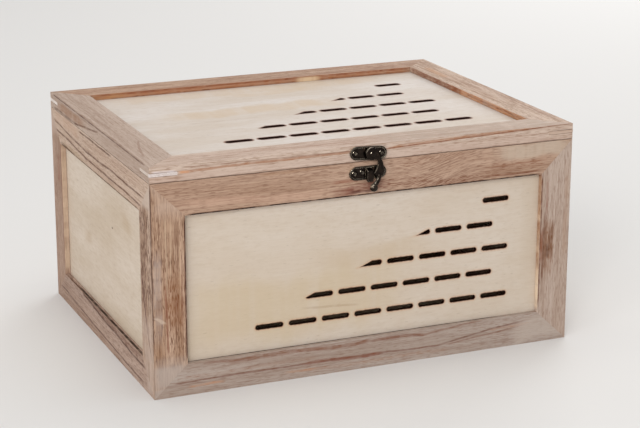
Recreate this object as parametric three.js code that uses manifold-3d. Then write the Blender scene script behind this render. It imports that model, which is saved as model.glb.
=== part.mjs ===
// A storage box of paulownia wood: four framed sides, a framed lid, two hinges and a hook latch.
// Millimetres: X runs along the front from left to right, Y from front to back, Z up.
// The origin is the middle of the underside of the wooden box.
import * as THREE from 'three';
import { mergeVertices } from 'three/addons/utils/BufferGeometryUtils.js';
import Module from 'manifold-3d';

const wasm = await Module();
wasm.setup();

// The closed box
const boxWidth = 340;
const boxDepth = 260;
const boxHeight = 174;
const sideThickness = 12;
const lidThickness = 12;
const lidSeam = 0.3;

// Visible widths of the frame members
const stileWidth = 26;
const topRailWidth = 25.5;
const bottomRailWidth = 24.5;
const lidRailWidth = 26;

// Plywood panels and the grooves that hold their edges
const panelThickness = 3;
const panelRecess = 4.5;
const grooveDepth = 6;
const panelPlay = 0.5;
const grooveSlack = 0.15;

// Bottom board, let into a groove round the inside of the four sides
const bottomThickness = 4;
const bottomLift = 6;
const bottomGrooveDepth = 5;

// Glued mitres: at the ends of the members, and at the upright corners of the box
const mitreGap = 0.15;
const cornerGap = 0.1;

// Triangular keys across the corners of the lid
const keyLeg = 21;
const keyThickness = 2.6;
const keySlack = 0.1;

// Slots sawn through two panels: distances from the edges of the panel's opening
const slotsInRows = [8, 6, 5, 3, 1];
const slotBridge = 4.9;
const slotTrim = 0.3;
const frontSlots = { height: 3.4, left: 54.4, right: 26, bottom: 18.3, top: 16.7 };
const lidSlots = { height: 5.6, left: 54.4, right: 29, bottom: 37.6, top: 39 };

// Low round-headed wood screws, one size everywhere
const screwLength = 8.5;
const screwRadius = 1.1;
const screwHeadRadius = 2.4;
const screwHeadHeight = 0.7;
const screwPoint = 2.4;
const crossLength = 2.6;
const crossWidth = 0.55;
const crossDepth = 0.45;
const screwSlack = 0.15;

// Latch plates with a raised rim; the upper one carries the hook, the lower one the horn
const plateLength = 29.4;
const plateWidth = 10.2;
const plateFloor = 1;
const plateRim = 1.6;
const plateRimWidth = 1;
const plateScrewOffset = 10.6;
const hookPlateX = -2.2;
const hookPlateTilt = THREE.MathUtils.degToRad(-3.5);
const pivotOffset = 1.9;
const catchPlateX = -2.6;
const catchScrewOffset = 4.4;
const catchScrewLift = 0.5;
const plateSpacing = 14.7;

// Horn of the catch plate
const hornWidth = 4.8;
const hornOffset = 0.7;
const hornTopInset = 1.2;
const hornSlope = 1.8;
const hornOverhang = 1.5;
const hornReach = 4.5;
const hornCorner = 0.4;

// Hook and the rivet that it turns on
const hookThickness = 2.2;
const hookLift = 0.3;
const hookDiscRadius = 4.9;
const hookArmWidth = 4.5;
const hookShoulder = 1.9;
const hookThroat = 4.1;
const hookTooth = 2.9;
const hookHoleRadius = 1.45;
const tailRadius = 1.6;
const tailTipRadius = 3.1;
const tailTipX = 0.8;
const tailClearance = 1;
const tailCurl = 1.8;
const rivetRadius = 1.3;
const rivetCollarRadius = 2.4;
const rivetHeadRadius = 2.3;
const rivetHeadHeight = 1.2;
const rivetSlack = 0.1;

// Where the tail runs: shares of its way across to the tip, of its way down and of its curl outwards
const tailRouteShares = [
  [0.18, 0, 0], [0.22, 0.15, 0], [0.32, 0.36, 0.1], [0.48, 0.54, 0.25], [0.7, 0.72, 0.5], [1, 1, 1]];
// Domes as shares of the head's radius and height
const screwDomeShares = [[1, 0.33], [0.7, 0.85], [0, 1]];
const rivetDomeShares = [[0.85, 0.55], [0.45, 0.9], [0, 1]];

// Hinges on the back
const hingeFromEnd = 55;
const leafWidth = 26;
const leafHeight = 9;
const leafThickness = 0.9;
const leafCorner = 1.5;
const leafScrewSpacing = 15;
const barrelRadius = 1.7;
const barrelLift = 0.1;
const barrelGap = 0.25;
const knuckleGap = 0.3;
const pinRadius = 0.75;
const pinSlack = 0.1;
const pinHeadRadius = 1.15;
const pinHeadHeight = 0.5;
const lidOpening = THREE.MathUtils.degToRad(105);
const lugReach = 3;
const lugThickness = 1.3;

// How far a cut runs past the piece that it cuts, how finely round shapes are faceted, and how late
// along the hook's tail its swelling comes
const overrun = 1;
const slotArcSteps = 3;
const hookArcSteps = 8;
const tailSteps = 12;
const tailSwellPower = 4;
const roundSides = 16;
const holeSides = 12;

// Sizes that follow from the ones above
const sideHeight = boxHeight - lidThickness - lidSeam;
const lidBottom = boxHeight - lidThickness;
const lidMiddle = boxHeight - lidThickness / 2;
const pilotRadius = screwRadius + screwSlack;
const hingeAxisZ = sideHeight + lidSeam / 2;
const hingeAxisOut = barrelLift + barrelRadius;
const leafStart = barrelRadius + barrelGap;
const leafScrewRise = leafStart + leafHeight / 2;
const hingePlaces = [-1, 1].map((end) => end * (boxWidth / 2 - hingeFromEnd));
const catchZ = lidMiddle - plateSpacing;
const hookBack = plateRim + hookLift;
const hookFront = hookBack + hookThickness;

const finish = (colour, roughness, metalness) =>
  new THREE.MeshStandardMaterial({ color: colour, roughness, metalness });
const sideWood = finish(0xa9876f, 0.65, 0);
const lidWood = finish(0xbb9f8a, 0.65, 0);
const keyWood = finish(0xd2c2b2, 0.65, 0);
const panelPly = finish(0xcec0b1, 0.6, 0);
const bottomPly = finish(0xc8b59c, 0.7, 0);
const bronze = finish(0x2e241d, 0.4, 0.85);

// A closed mesh as a solid that can be cut and joined
function solid(geometry) {
  const bare = geometry.clone();
  bare.deleteAttribute('normal');
  bare.deleteAttribute('uv');
  const merged = mergeVertices(bare);
  return new wasm.Manifold(new wasm.Mesh({
    numProp: 3,
    vertProperties: new Float32Array(merged.attributes.position.array),
    triVerts: new Uint32Array(merged.index.array),
  }));
}

// A named piece made of a solid
function piece(name, body, material) {
  const { vertProperties, triVerts } = body.getMesh();
  const geometry = new THREE.BufferGeometry();
  geometry.setAttribute('position', new THREE.BufferAttribute(vertProperties, 3));
  geometry.setIndex(new THREE.BufferAttribute(triVerts, 1));
  geometry.computeVertexNormals();
  const mesh = new THREE.Mesh(geometry, material);
  mesh.name = name;
  return mesh;
}

const polygon = (points) => new THREE.Shape(points.map(([x, y]) => new THREE.Vector2(x, y)));

// A slot-shaped outline with round ends
function stadium(x, y, length, height) {
  const radius = height / 2;
  const reach = length / 2 - radius;
  const outline = new THREE.Shape();
  outline.moveTo(x - reach, y - radius);
  outline.lineTo(x + reach, y - radius);
  outline.absarc(x + reach, y, radius, -Math.PI / 2, Math.PI / 2, false);
  outline.lineTo(x - reach, y + radius);
  outline.absarc(x - reach, y, radius, Math.PI / 2, 3 * Math.PI / 2, false);
  return outline;
}

// A rectangle between two heights, with rounded corners
function roundedRectangle(width, low, high, corner) {
  const side = width / 2;
  const outline = new THREE.Shape();
  outline.moveTo(corner - side, low);
  outline.lineTo(side - corner, low);
  outline.absarc(side - corner, low + corner, corner, -Math.PI / 2, 0, false);
  outline.lineTo(side, high - corner);
  outline.absarc(side - corner, high - corner, corner, 0, Math.PI / 2, false);
  outline.lineTo(corner - side, high);
  outline.absarc(corner - side, high - corner, corner, Math.PI / 2, Math.PI, false);
  outline.lineTo(-side, low + corner);
  outline.absarc(corner - side, low + corner, corner, Math.PI, 3 * Math.PI / 2, false);
  return outline;
}

// An outline in X and Y, raised along Z
function raised(outline, from, to, arcSteps = slotArcSteps) {
  const options = { depth: to - from, bevelEnabled: false, curveSegments: arcSteps };
  return new THREE.ExtrudeGeometry(outline, options).translate(0, 0, from);
}

// An outline in X and Z, run along Y
const throughY = (outline, from, to) => raised(outline, -to, -from).rotateX(Math.PI / 2);

// An outline in Y and Z, run along X
const yzx = new THREE.Matrix4().makeBasis(
  new THREE.Vector3(0, 1, 0), new THREE.Vector3(0, 0, 1), new THREE.Vector3(1, 0, 0));
const alongX = (outline, from, to) => raised(outline, from, to).applyMatrix4(yzx);

// A round bar along Z, between two heights
const bar = (radius, from, to, sides) =>
  new THREE.CylinderGeometry(radius, radius, to - from, sides)
    .rotateX(Math.PI / 2)
    .translate(0, 0, (from + to) / 2);

// The section of a grooved member: across runs from its outer to its inner edge, through from its face
function groovedSection(outer, inner, thickness, place) {
  const floor = inner + Math.sign(outer - inner) * grooveDepth;
  const near = panelRecess - grooveSlack;
  const far = panelRecess + panelThickness + grooveSlack;
  return polygon([
    place(outer, 0), place(inner, 0), place(inner, near), place(floor, near),
    place(floor, far), place(inner, far), place(inner, thickness), place(outer, thickness),
  ]);
}

// Rows of slots laid like bricks, the left ends of the rows cut off along one slanting line
function slotOutlines({ left, right, bottom, top, height }) {
  const pitch = (right - left + slotBridge) / slotsInRows[0];
  const length = pitch - slotBridge;
  const rise = (top - bottom) / (slotsInRows.length - 1);
  const slots = slotsInRows.flatMap((count, row) => {
    const last = right - length / 2 - (row % 2) * pitch / 2;
    return Array.from({ length: count }, (_, i) =>
      stadium(last - i * pitch, bottom + row * rise, length, height));
  });
  const slope = (top - bottom) / (right - length - left);
  const line = (x) => bottom + height / 2 - slotTrim + slope * (x - left);
  const under = polygon([
    [left - overrun, line(left - overrun)], [left - overrun, bottom - height],
    [right + overrun, bottom - height], [right + overrun, line(right + overrun)],
  ]);
  return { slots, under };
}

// Slots of a panel whose opening is given, as a cutter made by the extruder that suits the panel
function slotCutter(opening, margins, extrude) {
  const { slots, under } = slotOutlines({
    left: opening.left + margins.left,
    right: opening.right - margins.right,
    bottom: opening.bottom + margins.bottom,
    top: opening.top - margins.top,
    height: margins.height,
  });
  return solid(extrude(slots)).intersect(solid(extrude(under)));
}

// Pilot holes drilled square into an outer face, at places along it
const pilotHoles = (places) => places.map(([x, z]) =>
  solid(bar(pilotRadius, -screwLength, overrun, holeSides)
    .rotateX(Math.PI / 2)
    .translate(x, 0, z)));

// One side: X along it, Y inwards from its face, Z up. Two rails and two stiles are mitred round
// a panel, and the ends are mitred again where the sides meet.
function makeSide({ name, length, ends, slots, holes }) {
  const side = new THREE.Group();
  const half = length / 2;
  const opening = {
    left: stileWidth - half,
    right: half - stileWidth,
    bottom: bottomRailWidth,
    top: sideHeight - topRailWidth,
  };
  const corner = half - cornerGap;
  const plan = solid(raised(polygon([
    [-corner, 0], [corner, 0],
    [corner - sideThickness, sideThickness], [sideThickness - corner, sideThickness],
  ]), 0, sideHeight));
  const bottomGroove = solid(new THREE.BoxGeometry(
    length, bottomGrooveDepth + overrun, bottomThickness + 2 * grooveSlack)
    .translate(0, sideThickness + (overrun - bottomGrooveDepth) / 2, bottomLift + bottomThickness / 2));

  const makeRail = (label, outer, inner, cutters) => {
    const section = groovedSection(outer, inner, sideThickness, (across, through) => [through, across]);
    const mitred = solid(throughY(polygon([
      [mitreGap - half, outer], [half - mitreGap, outer],
      [opening.right - mitreGap, inner], [opening.left + mitreGap, inner],
    ]), 0, sideThickness));
    const whole = solid(alongX(section, -half, half)).intersect(mitred).intersect(plan);
    const rail = cutters.reduce((rest, cutter) => rest.subtract(cutter), whole);
    side.add(piece(`${name}_${label}`, rail, sideWood));
  };
  makeRail('top_rail', sideHeight, opening.top, pilotHoles(holes));
  makeRail('bottom_rail', 0, opening.bottom, [bottomGroove]);

  const makeStile = (label, outer, inner) => {
    const section = groovedSection(outer, inner, sideThickness, (across, through) => [across, through]);
    const mitred = solid(throughY(polygon([
      [outer, 0], [outer, sideHeight], [inner, opening.top], [inner, opening.bottom],
    ]), 0, sideThickness));
    const whole = solid(raised(section, 0, sideHeight)).intersect(mitred).intersect(plan);
    side.add(piece(`${name}_${label}_stile`, whole.subtract(bottomGroove), sideWood));
  };
  makeStile(ends[0], -half, opening.left);
  makeStile(ends[1], half, opening.right);

  const tongue = grooveDepth - panelPlay;
  const panelBack = panelRecess + panelThickness;
  const sheet = solid(throughY(polygon([
    [opening.left - tongue, opening.bottom - tongue], [opening.right + tongue, opening.bottom - tongue],
    [opening.right + tongue, opening.top + tongue], [opening.left - tongue, opening.top + tongue],
  ]), panelRecess, panelBack));
  const throughPanel = (outline) => throughY(outline, panelRecess - overrun, panelBack + overrun);
  const panel = slots ? sheet.subtract(slotCutter(opening, slots, throughPanel)) : sheet;
  side.add(piece(`${name}_panel`, panel, panelPly));
  return side;
}

// Screws of the catch plate, as X and Z
const catchScrewPlaces = [
  [catchPlateX - plateScrewOffset, catchZ],
  [catchPlateX - catchScrewOffset, catchZ + catchScrewLift],
];

// The four sides and the board between them
function makeCase() {
  const body = new THREE.Group();
  const hingeHoles = leafScrewPlaces(-1);
  const front = makeSide({
    name: 'front', length: boxWidth, ends: ['left', 'right'], slots: frontSlots, holes: catchScrewPlaces });
  const right = makeSide({ name: 'right', length: boxDepth, ends: ['front', 'back'], holes: [] });
  const back = makeSide({ name: 'back', length: boxWidth, ends: ['right', 'left'], holes: hingeHoles });
  const left = makeSide({ name: 'left', length: boxDepth, ends: ['back', 'front'], holes: [] });
  front.position.y = -boxDepth / 2;
  right.position.x = boxWidth / 2;
  right.rotation.z = Math.PI / 2;
  back.position.y = boxDepth / 2;
  back.rotation.z = Math.PI;
  left.position.x = -boxWidth / 2;
  left.rotation.z = -Math.PI / 2;

  const inset = 2 * (sideThickness - bottomGrooveDepth + panelPlay);
  const board = new THREE.BoxGeometry(boxWidth - inset, boxDepth - inset, bottomThickness)
    .translate(0, 0, bottomLift + bottomThickness / 2);
  body.add(front, right, back, left, piece('bottom_board', solid(board), bottomPly));
  return body;
}

// Screw places of both hinges on the body (down, -1) or on the lid (up, 1), as X and Z
function leafScrewPlaces(up) {
  return hingePlaces.flatMap((x) => [-1, 1].map((end) =>
    [x + end * leafScrewSpacing / 2, hingeAxisZ + up * leafScrewRise]));
}

// A point along the middle of the tilted hook plate, as X and Z
const alongHookPlate = (offset) => [
  hookPlateX + offset * Math.cos(hookPlateTilt),
  lidMiddle + offset * Math.sin(hookPlateTilt),
];

// The lid: four rails mitred in plan round a panel, with a key across each corner
function makeLid() {
  const lid = new THREE.Group();
  const keyCut = keyLeg + keySlack;
  const cutHeight = keyThickness / 2 + keySlack;

  const makeRail = (name, length, holes) => {
    const half = length / 2;
    const corner = half - cornerGap;
    const section = groovedSection(0, lidRailWidth, lidThickness,
      (across, through) => [across, boxHeight - through]);
    const plan = solid(raised(polygon([
      [-corner, 0], [corner, 0],
      [corner - lidRailWidth, lidRailWidth], [lidRailWidth - corner, lidRailWidth],
    ]), lidBottom, boxHeight));
    const keySlots = [-1, 1].map((end) => solid(raised(polygon([
      [end * (half + overrun), -overrun], [end * (half - keyCut - overrun), -overrun],
      [end * (half + overrun), keyCut + overrun],
    ]), lidMiddle - cutHeight, lidMiddle + cutHeight)));
    const whole = solid(alongX(section, -half, half)).intersect(plan);
    const cutters = [...keySlots, ...pilotHoles(holes)];
    return piece(name, cutters.reduce((rest, cutter) => rest.subtract(cutter), whole), lidWood);
  };
  const hookHoles = [-plateScrewOffset, plateScrewOffset].map(alongHookPlate);
  const front = makeRail('lid_front_rail', boxWidth, hookHoles);
  const right = makeRail('lid_right_rail', boxDepth, []);
  const back = makeRail('lid_back_rail', boxWidth, leafScrewPlaces(1));
  const left = makeRail('lid_left_rail', boxDepth, []);
  front.position.y = -boxDepth / 2;
  right.position.x = boxWidth / 2;
  right.rotation.z = Math.PI / 2;
  back.position.y = boxDepth / 2;
  back.rotation.z = Math.PI;
  left.position.x = -boxWidth / 2;
  left.rotation.z = -Math.PI / 2;
  lid.add(front, right, back, left);

  const opening = {
    left: lidRailWidth - boxWidth / 2,
    right: boxWidth / 2 - lidRailWidth,
    bottom: lidRailWidth - boxDepth / 2,
    top: boxDepth / 2 - lidRailWidth,
  };
  const tongue = grooveDepth - panelPlay;
  const panelTop = boxHeight - panelRecess;
  const sheet = solid(new THREE.BoxGeometry(
    boxWidth - 2 * (lidRailWidth - tongue), boxDepth - 2 * (lidRailWidth - tongue), panelThickness)
    .translate(0, 0, panelTop - panelThickness / 2));
  const throughPanel = (outline) => raised(outline, panelTop - panelThickness - overrun, panelTop + overrun);
  lid.add(piece('lid_panel', sheet.subtract(slotCutter(opening, lidSlots, throughPanel)), panelPly));

  const keyOutline = polygon([[0, 0], [keyLeg, 0], [0, keyLeg]]);
  const keyShape = solid(raised(keyOutline, -keyThickness / 2, keyThickness / 2));
  const corners = [
    ['front_left', -1, -1], ['front_right', 1, -1], ['back_right', 1, 1], ['back_left', -1, 1]];
  corners.forEach(([name, x, y], turn) => {
    const key = piece(`lid_${name}_key`, keyShape, keyWood);
    key.position.set(x * boxWidth / 2, y * boxDepth / 2, lidMiddle);
    key.rotation.z = turn * Math.PI / 2;
    lid.add(key);
  });
  return lid;
}

// A frame for metalwork on the front or back face: X to the viewer's right, Y up, Z out of the wood
function onFace(y, x, z) {
  const frame = new THREE.Group();
  frame.position.set(x, y, z);
  frame.rotation.set(y < 0 ? Math.PI / 2 : -Math.PI / 2, 0, y < 0 ? 0 : Math.PI);
  return frame;
}

// A screw along Z: its head rests at height zero and its point goes into the wood
function makeScrew() {
  const profile = [
    [0, -screwLength], [screwRadius, screwPoint - screwLength], [screwRadius, 0], [screwHeadRadius, 0],
    ...screwDomeShares.map(([out, up]) => [screwHeadRadius * out, screwHeadHeight * up]),
  ].map(([r, z]) => new THREE.Vector2(r, z));
  const turned = solid(new THREE.LatheGeometry(profile, holeSides).rotateX(Math.PI / 2));
  const slot = (width, height) => solid(new THREE.BoxGeometry(width, height, crossDepth + overrun)
    .translate(0, 0, screwHeadHeight - crossDepth + (crossDepth + overrun) / 2));
  return turned.subtract(slot(crossLength, crossWidth)).subtract(slot(crossWidth, crossLength));
}
const screw = makeScrew();

// A screw on a face, its head resting on metal of the given thickness
function placeScrew(name, face, [x, z], metal) {
  const frame = onFace(face, x, z);
  const mesh = piece(name, screw, bronze);
  mesh.position.z = metal;
  frame.add(mesh);
  return frame;
}

// A latch plate: a flat floor inside a raised rim, with holes for its screws
function makePlate(holes) {
  const outer = solid(raised(stadium(0, 0, plateLength, plateWidth), 0, plateRim));
  const innerLength = plateLength - 2 * plateRimWidth;
  const innerWidth = plateWidth - 2 * plateRimWidth;
  const recess = solid(raised(stadium(0, 0, innerLength, innerWidth), plateFloor, plateRim + overrun));
  return holes.reduce((plate, [x, y, radius]) =>
    plate.subtract(solid(bar(radius, -overrun, plateRim + overrun, holeSides).translate(x, y, 0))),
  outer.subtract(recess));
}

// The upper plate on the edge of the lid, screwed on a little out of level
function makeHookPlate() {
  const frame = onFace(-boxDepth / 2, hookPlateX, lidMiddle);
  const holes = [
    [-plateScrewOffset, 0, pilotRadius], [pivotOffset, 0, rivetRadius + rivetSlack],
    [plateScrewOffset, 0, pilotRadius],
  ];
  const plate = piece('hook_plate', makePlate(holes), bronze);
  plate.rotation.z = hookPlateTilt;
  frame.add(plate);
  return frame;
}

// The horn stands up from the catch plate and hangs a little below it
const hornTop = plateWidth / 2 - hornTopInset;
const hornBottom = -plateWidth / 2 - hornOverhang;

// The lower plate on the front top rail, with two screws and the horn that the hook closes under.
// From the side the horn slopes out to a ridge and then drops straight.
function makeCatchPlate() {
  const frame = onFace(-boxDepth / 2, catchPlateX, catchZ);
  const holes = [[-plateScrewOffset, 0], [-catchScrewOffset, catchScrewLift]]
    .map(([x, y]) => [x, y, pilotRadius]);
  const ridge = hornTop - hornSlope;
  const horn = alongX(polygon([
    [hornTop, plateFloor / 2], [hornTop, plateRim], [ridge, hornReach - hornCorner],
    [ridge - hornCorner, hornReach], [hornBottom + hornCorner, hornReach],
    [hornBottom, hornReach - hornCorner], [hornBottom, plateRim],
    [hornBottom + hornOverhang, plateFloor / 2],
  ]), hornOffset - hornWidth / 2, hornOffset + hornWidth / 2);
  frame.add(piece('catch_plate', makePlate(holes).add(solid(horn)), bronze));
  return frame;
}

// A round bar bent along a curve that lies near the XY plane, swelling towards the curve's end
function bentBar(curve, startRadius, endRadius) {
  const bent = new THREE.CylinderGeometry(1, 1, 1, holeSides, tailSteps);
  const places = bent.attributes.position;
  const outwards = new THREE.Vector3(0, 0, 1);
  for (let i = 0; i < places.count; i++) {
    const share = places.getY(i) + 1 / 2;
    const radius = startRadius + (endRadius - startRadius) * share ** tailSwellPower;
    const along = curve.getTangentAt(share);
    const side = along.clone().cross(outwards).normalize();
    const place = curve.getPointAt(share)
      .addScaledVector(side, radius * places.getX(i))
      .addScaledVector(side.clone().cross(along), radius * places.getZ(i));
    places.setXYZ(i, place.x, place.y, place.z);
  }
  return bent;
}

// The swinging hook: a disc on the rivet, an arm down its right side with a tooth beside the horn,
// and a rounded tail that passes under the horn and curls out to be flicked with a finger.
// Its own origin is the rivet.
function makeHook(pivot) {
  const armInner = catchPlateX + hornOffset + hornWidth / 2 - pivot.x + hookThroat;
  const armOuter = armInner + hookArmWidth;
  const armMiddle = (armInner + armOuter) / 2;
  const toothY = catchZ - pivot.z;
  const armEnd = toothY - hookDiscRadius / 2;
  const neckY = -3 * hookDiscRadius / 2;
  const tipY = catchZ - pivot.z + hornBottom - tailClearance - tailTipRadius;

  const outline = new THREE.Shape();
  outline.absarc(0, 0, hookDiscRadius, Math.PI / 5, 5 * Math.PI / 3, false);
  outline.quadraticCurveTo(armInner, -hookDiscRadius, armInner, neckY);
  outline.quadraticCurveTo(armInner, (neckY + toothY) / 2, armInner - hookTooth, toothY);
  outline.quadraticCurveTo(armInner - hookTooth, armEnd, armInner, armEnd);
  outline.lineTo(armMiddle, armEnd - tailRadius / 2);
  outline.quadraticCurveTo(armOuter, armEnd, armOuter, toothY);
  outline.quadraticCurveTo(armOuter, neckY, armOuter - hookShoulder, -hookDiscRadius);
  outline.closePath();
  const arm = solid(raised(outline, hookBack, hookFront, hookArcSteps));

  const route = new THREE.CatmullRomCurve3(tailRouteShares.map(([across, down, out]) => new THREE.Vector3(
    armMiddle + across * (tailTipX - armMiddle),
    armEnd + down * (tipY - armEnd),
    hookBack + tailRadius + out * tailCurl,
  )));
  const knob = (radius, share) => {
    const { x, y, z } = route.getPoint(share);
    return solid(new THREE.SphereGeometry(radius, roundSides, holeSides).translate(x, y, z));
  };
  const hole = solid(bar(hookHoleRadius, hookBack - overrun, hookFront + overrun, roundSides));
  return arm
    .add(solid(bentBar(route, tailRadius, tailTipRadius)))
    .add(knob(tailRadius, 0))
    .add(knob(tailTipRadius, 1))
    .subtract(hole);
}

// The rivet: a shank through plate and hook, a collar that keeps them apart, and a domed head
function makeRivet() {
  const headBase = hookFront + rivetSlack;
  const profile = [
    [0, rivetSlack], [rivetRadius, rivetSlack], [rivetRadius, plateFloor], [rivetCollarRadius, plateFloor],
    [rivetCollarRadius, hookBack - rivetSlack], [rivetRadius, hookBack - rivetSlack],
    [rivetRadius, headBase], [rivetHeadRadius, headBase],
    ...rivetDomeShares.map(([out, up]) => [rivetHeadRadius * out, headBase + rivetHeadHeight * up]),
  ].map(([r, z]) => new THREE.Vector2(r, z));
  return solid(new THREE.LatheGeometry(profile, roundSides).rotateX(Math.PI / 2));
}

// The latch: two plates, the hook, its rivet and four screws
function makeLatch() {
  const latch = new THREE.Group();
  const [pivotX, pivotZ] = alongHookPlate(pivotOffset);
  const pivotFrame = onFace(-boxDepth / 2, pivotX, pivotZ);
  pivotFrame.add(
    piece('hook', makeHook({ x: pivotX, z: pivotZ }), bronze),
    piece('hook_rivet', makeRivet(), bronze),
  );
  latch.add(makeHookPlate(), makeCatchPlate(), pivotFrame);
  const screws = [
    ['hook_plate_left_screw', alongHookPlate(-plateScrewOffset)],
    ['hook_plate_right_screw', alongHookPlate(plateScrewOffset)],
    ['catch_plate_left_screw', catchScrewPlaces[0]],
    ['catch_plate_right_screw', catchScrewPlaces[1]],
  ];
  screws.forEach(([name, place]) => latch.add(placeScrew(name, -boxDepth / 2, place, plateFloor)));
  return latch;
}

// One hinge leaf: a plate on the wood and the knuckles rolled from its edge, drilled for the pin.
// It reaches up from the barrel, or down when up is -1; knuckles are its stretches of the barrel.
function makeLeaf(up, knuckles) {
  const flat = up > 0
    ? roundedRectangle(leafWidth, leafStart, leafStart + leafHeight, leafCorner)
    : roundedRectangle(leafWidth, -leafStart - leafHeight, -leafStart, leafCorner);
  const barrel = knuckles.map(([from, to]) => {
    const roll = bar(barrelRadius, from, to, roundSides).rotateY(Math.PI / 2).translate(0, 0, hingeAxisOut);
    const strap = new THREE.BoxGeometry(to - from, leafStart + leafCorner, leafThickness)
      .translate((from + to) / 2, up * (leafStart + leafCorner) / 2, leafThickness / 2);
    return solid(roll).add(solid(strap));
  });
  const pinHole = solid(bar(pinRadius + pinSlack, -leafWidth, leafWidth, holeSides)
    .rotateY(Math.PI / 2)
    .translate(0, 0, hingeAxisOut));
  const screwHoles = [-1, 1].map((end) => solid(bar(pilotRadius, -overrun, leafThickness + overrun, holeSides)
    .translate(end * leafScrewSpacing / 2, up * leafScrewRise, 0)));
  const joined = barrel.reduce((leaf, knuckle) => leaf.add(knuckle), solid(raised(flat, 0, leafThickness)));
  return { leaf: screwHoles.reduce((leaf, hole) => leaf.subtract(hole), joined), pinHole };
}

// One hinge: the lid's leaf has the middle knuckle, and on it a lug that meets the body's leaf when
// the lid is fully open; the body's leaf has the outer knuckles, and the pin joins them.
function makeHinge(name, x) {
  const hinge = onFace(boxDepth / 2, x, hingeAxisZ);
  const end = leafWidth / 2;
  const middle = leafWidth / 6;
  const lugRoot = barrelRadius / 2;
  const lug = solid(new THREE.BoxGeometry(2 * (middle - knuckleGap), lugThickness, lugReach - lugRoot)
    .translate(0, 0, (lugReach + lugRoot) / 2)
    .rotateX(Math.PI / 2 - lidOpening)
    .translate(0, 0, hingeAxisOut));
  const lidLeaf = makeLeaf(1, [[knuckleGap / 2 - middle, middle - knuckleGap / 2]]);
  const bodyLeaf = makeLeaf(-1, [[-end, -middle - knuckleGap / 2], [middle + knuckleGap / 2, end]]);
  const pinProfile = [
    [0, -end - pinHeadHeight], [pinHeadRadius, -end - pinHeadHeight / 2], [pinHeadRadius, -end],
    [pinRadius, -end], [pinRadius, end], [pinHeadRadius, end],
    [pinHeadRadius, end + pinHeadHeight / 2], [0, end + pinHeadHeight],
  ].map(([r, along]) => new THREE.Vector2(r, along));
  const pin = new THREE.LatheGeometry(pinProfile, holeSides)
    .rotateZ(-Math.PI / 2)
    .translate(0, 0, hingeAxisOut);
  hinge.add(
    piece(`${name}_lid_leaf`, lidLeaf.leaf.add(lug).subtract(lidLeaf.pinHole), bronze),
    piece(`${name}_body_leaf`, bodyLeaf.leaf.subtract(bodyLeaf.pinHole), bronze),
    piece(`${name}_pin`, solid(pin), bronze),
  );
  return hinge;
}

// Both hinges and their screws
function makeHinges() {
  const hinges = new THREE.Group();
  const names = ['left_hinge', 'right_hinge'];
  names.forEach((name, i) => hinges.add(makeHinge(name, hingePlaces[i])));
  [['lid', 1], ['body', -1]].forEach(([part, up]) => leafScrewPlaces(up).forEach((place, i) => {
    const name = `${names[Math.floor(i / 2)]}_${part}_${i % 2 ? 'right' : 'left'}_screw`;
    hinges.add(placeScrew(name, boxDepth / 2, place, leafThickness));
  }));
  return hinges;
}

const box = new THREE.Group();
box.add(makeCase(), makeLid(), makeLatch(), makeHinges());
export default box;
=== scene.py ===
import math
from functools import partial

import bmesh
import bpy
from mathutils import Matrix, Vector


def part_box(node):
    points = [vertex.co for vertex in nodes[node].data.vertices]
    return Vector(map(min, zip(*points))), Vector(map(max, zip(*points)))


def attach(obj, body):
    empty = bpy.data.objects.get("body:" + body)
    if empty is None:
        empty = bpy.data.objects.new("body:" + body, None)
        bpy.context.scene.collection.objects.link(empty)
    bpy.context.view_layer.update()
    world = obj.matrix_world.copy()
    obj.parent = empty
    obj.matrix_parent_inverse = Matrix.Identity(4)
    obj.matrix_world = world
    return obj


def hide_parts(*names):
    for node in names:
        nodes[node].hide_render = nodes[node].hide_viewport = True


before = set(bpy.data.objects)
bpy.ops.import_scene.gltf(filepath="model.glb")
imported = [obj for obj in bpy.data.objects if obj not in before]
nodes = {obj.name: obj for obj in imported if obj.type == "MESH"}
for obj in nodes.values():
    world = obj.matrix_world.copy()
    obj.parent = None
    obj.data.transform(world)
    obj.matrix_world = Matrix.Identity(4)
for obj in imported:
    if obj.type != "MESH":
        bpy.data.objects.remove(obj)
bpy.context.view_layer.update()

# The camera looks down on the front left corner of the box through a long lens, so that the upright
# edges stay nearly parallel.
camera_data = bpy.data.cameras.new("long_lens")
camera_data.lens = 105.8
camera_data.sensor_width = 36
camera = bpy.data.objects.new("long_lens", camera_data)
camera_place = (-0.554864, -1.342377, 0.515215)
camera_turn = math.radians(-23.0)
camera_drop = math.radians(16.476)
camera_roll = math.radians(0.0625)
camera.matrix_world = (
    Matrix.Translation(camera_place)
    @ Matrix.Rotation(camera_turn, 4, "Z")
    @ Matrix.Rotation(math.pi / 2 - camera_drop, 4, "X")
    @ Matrix.Rotation(camera_roll, 4, "Z")
)
bpy.context.scene.collection.objects.link(camera)
bpy.context.scene.camera = camera
bpy.context.scene.view_settings.view_transform = "Standard"


# The box stands on a plain pale floor in even light from all round, with a large and a small soft
# lamp in front of it on the left, a wide one overhead and a fill behind.
def paint(red, green, blue):
    """A colour as it is seen, 0 to 255 each, as the linear values that a shader takes."""
    def linear(share):
        return share / 12.92 if share <= 0.04045 else ((share + 0.055) / 1.055) ** 2.4
    return (*(linear(value / 255) for value in (red, green, blue)), 1)


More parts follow.
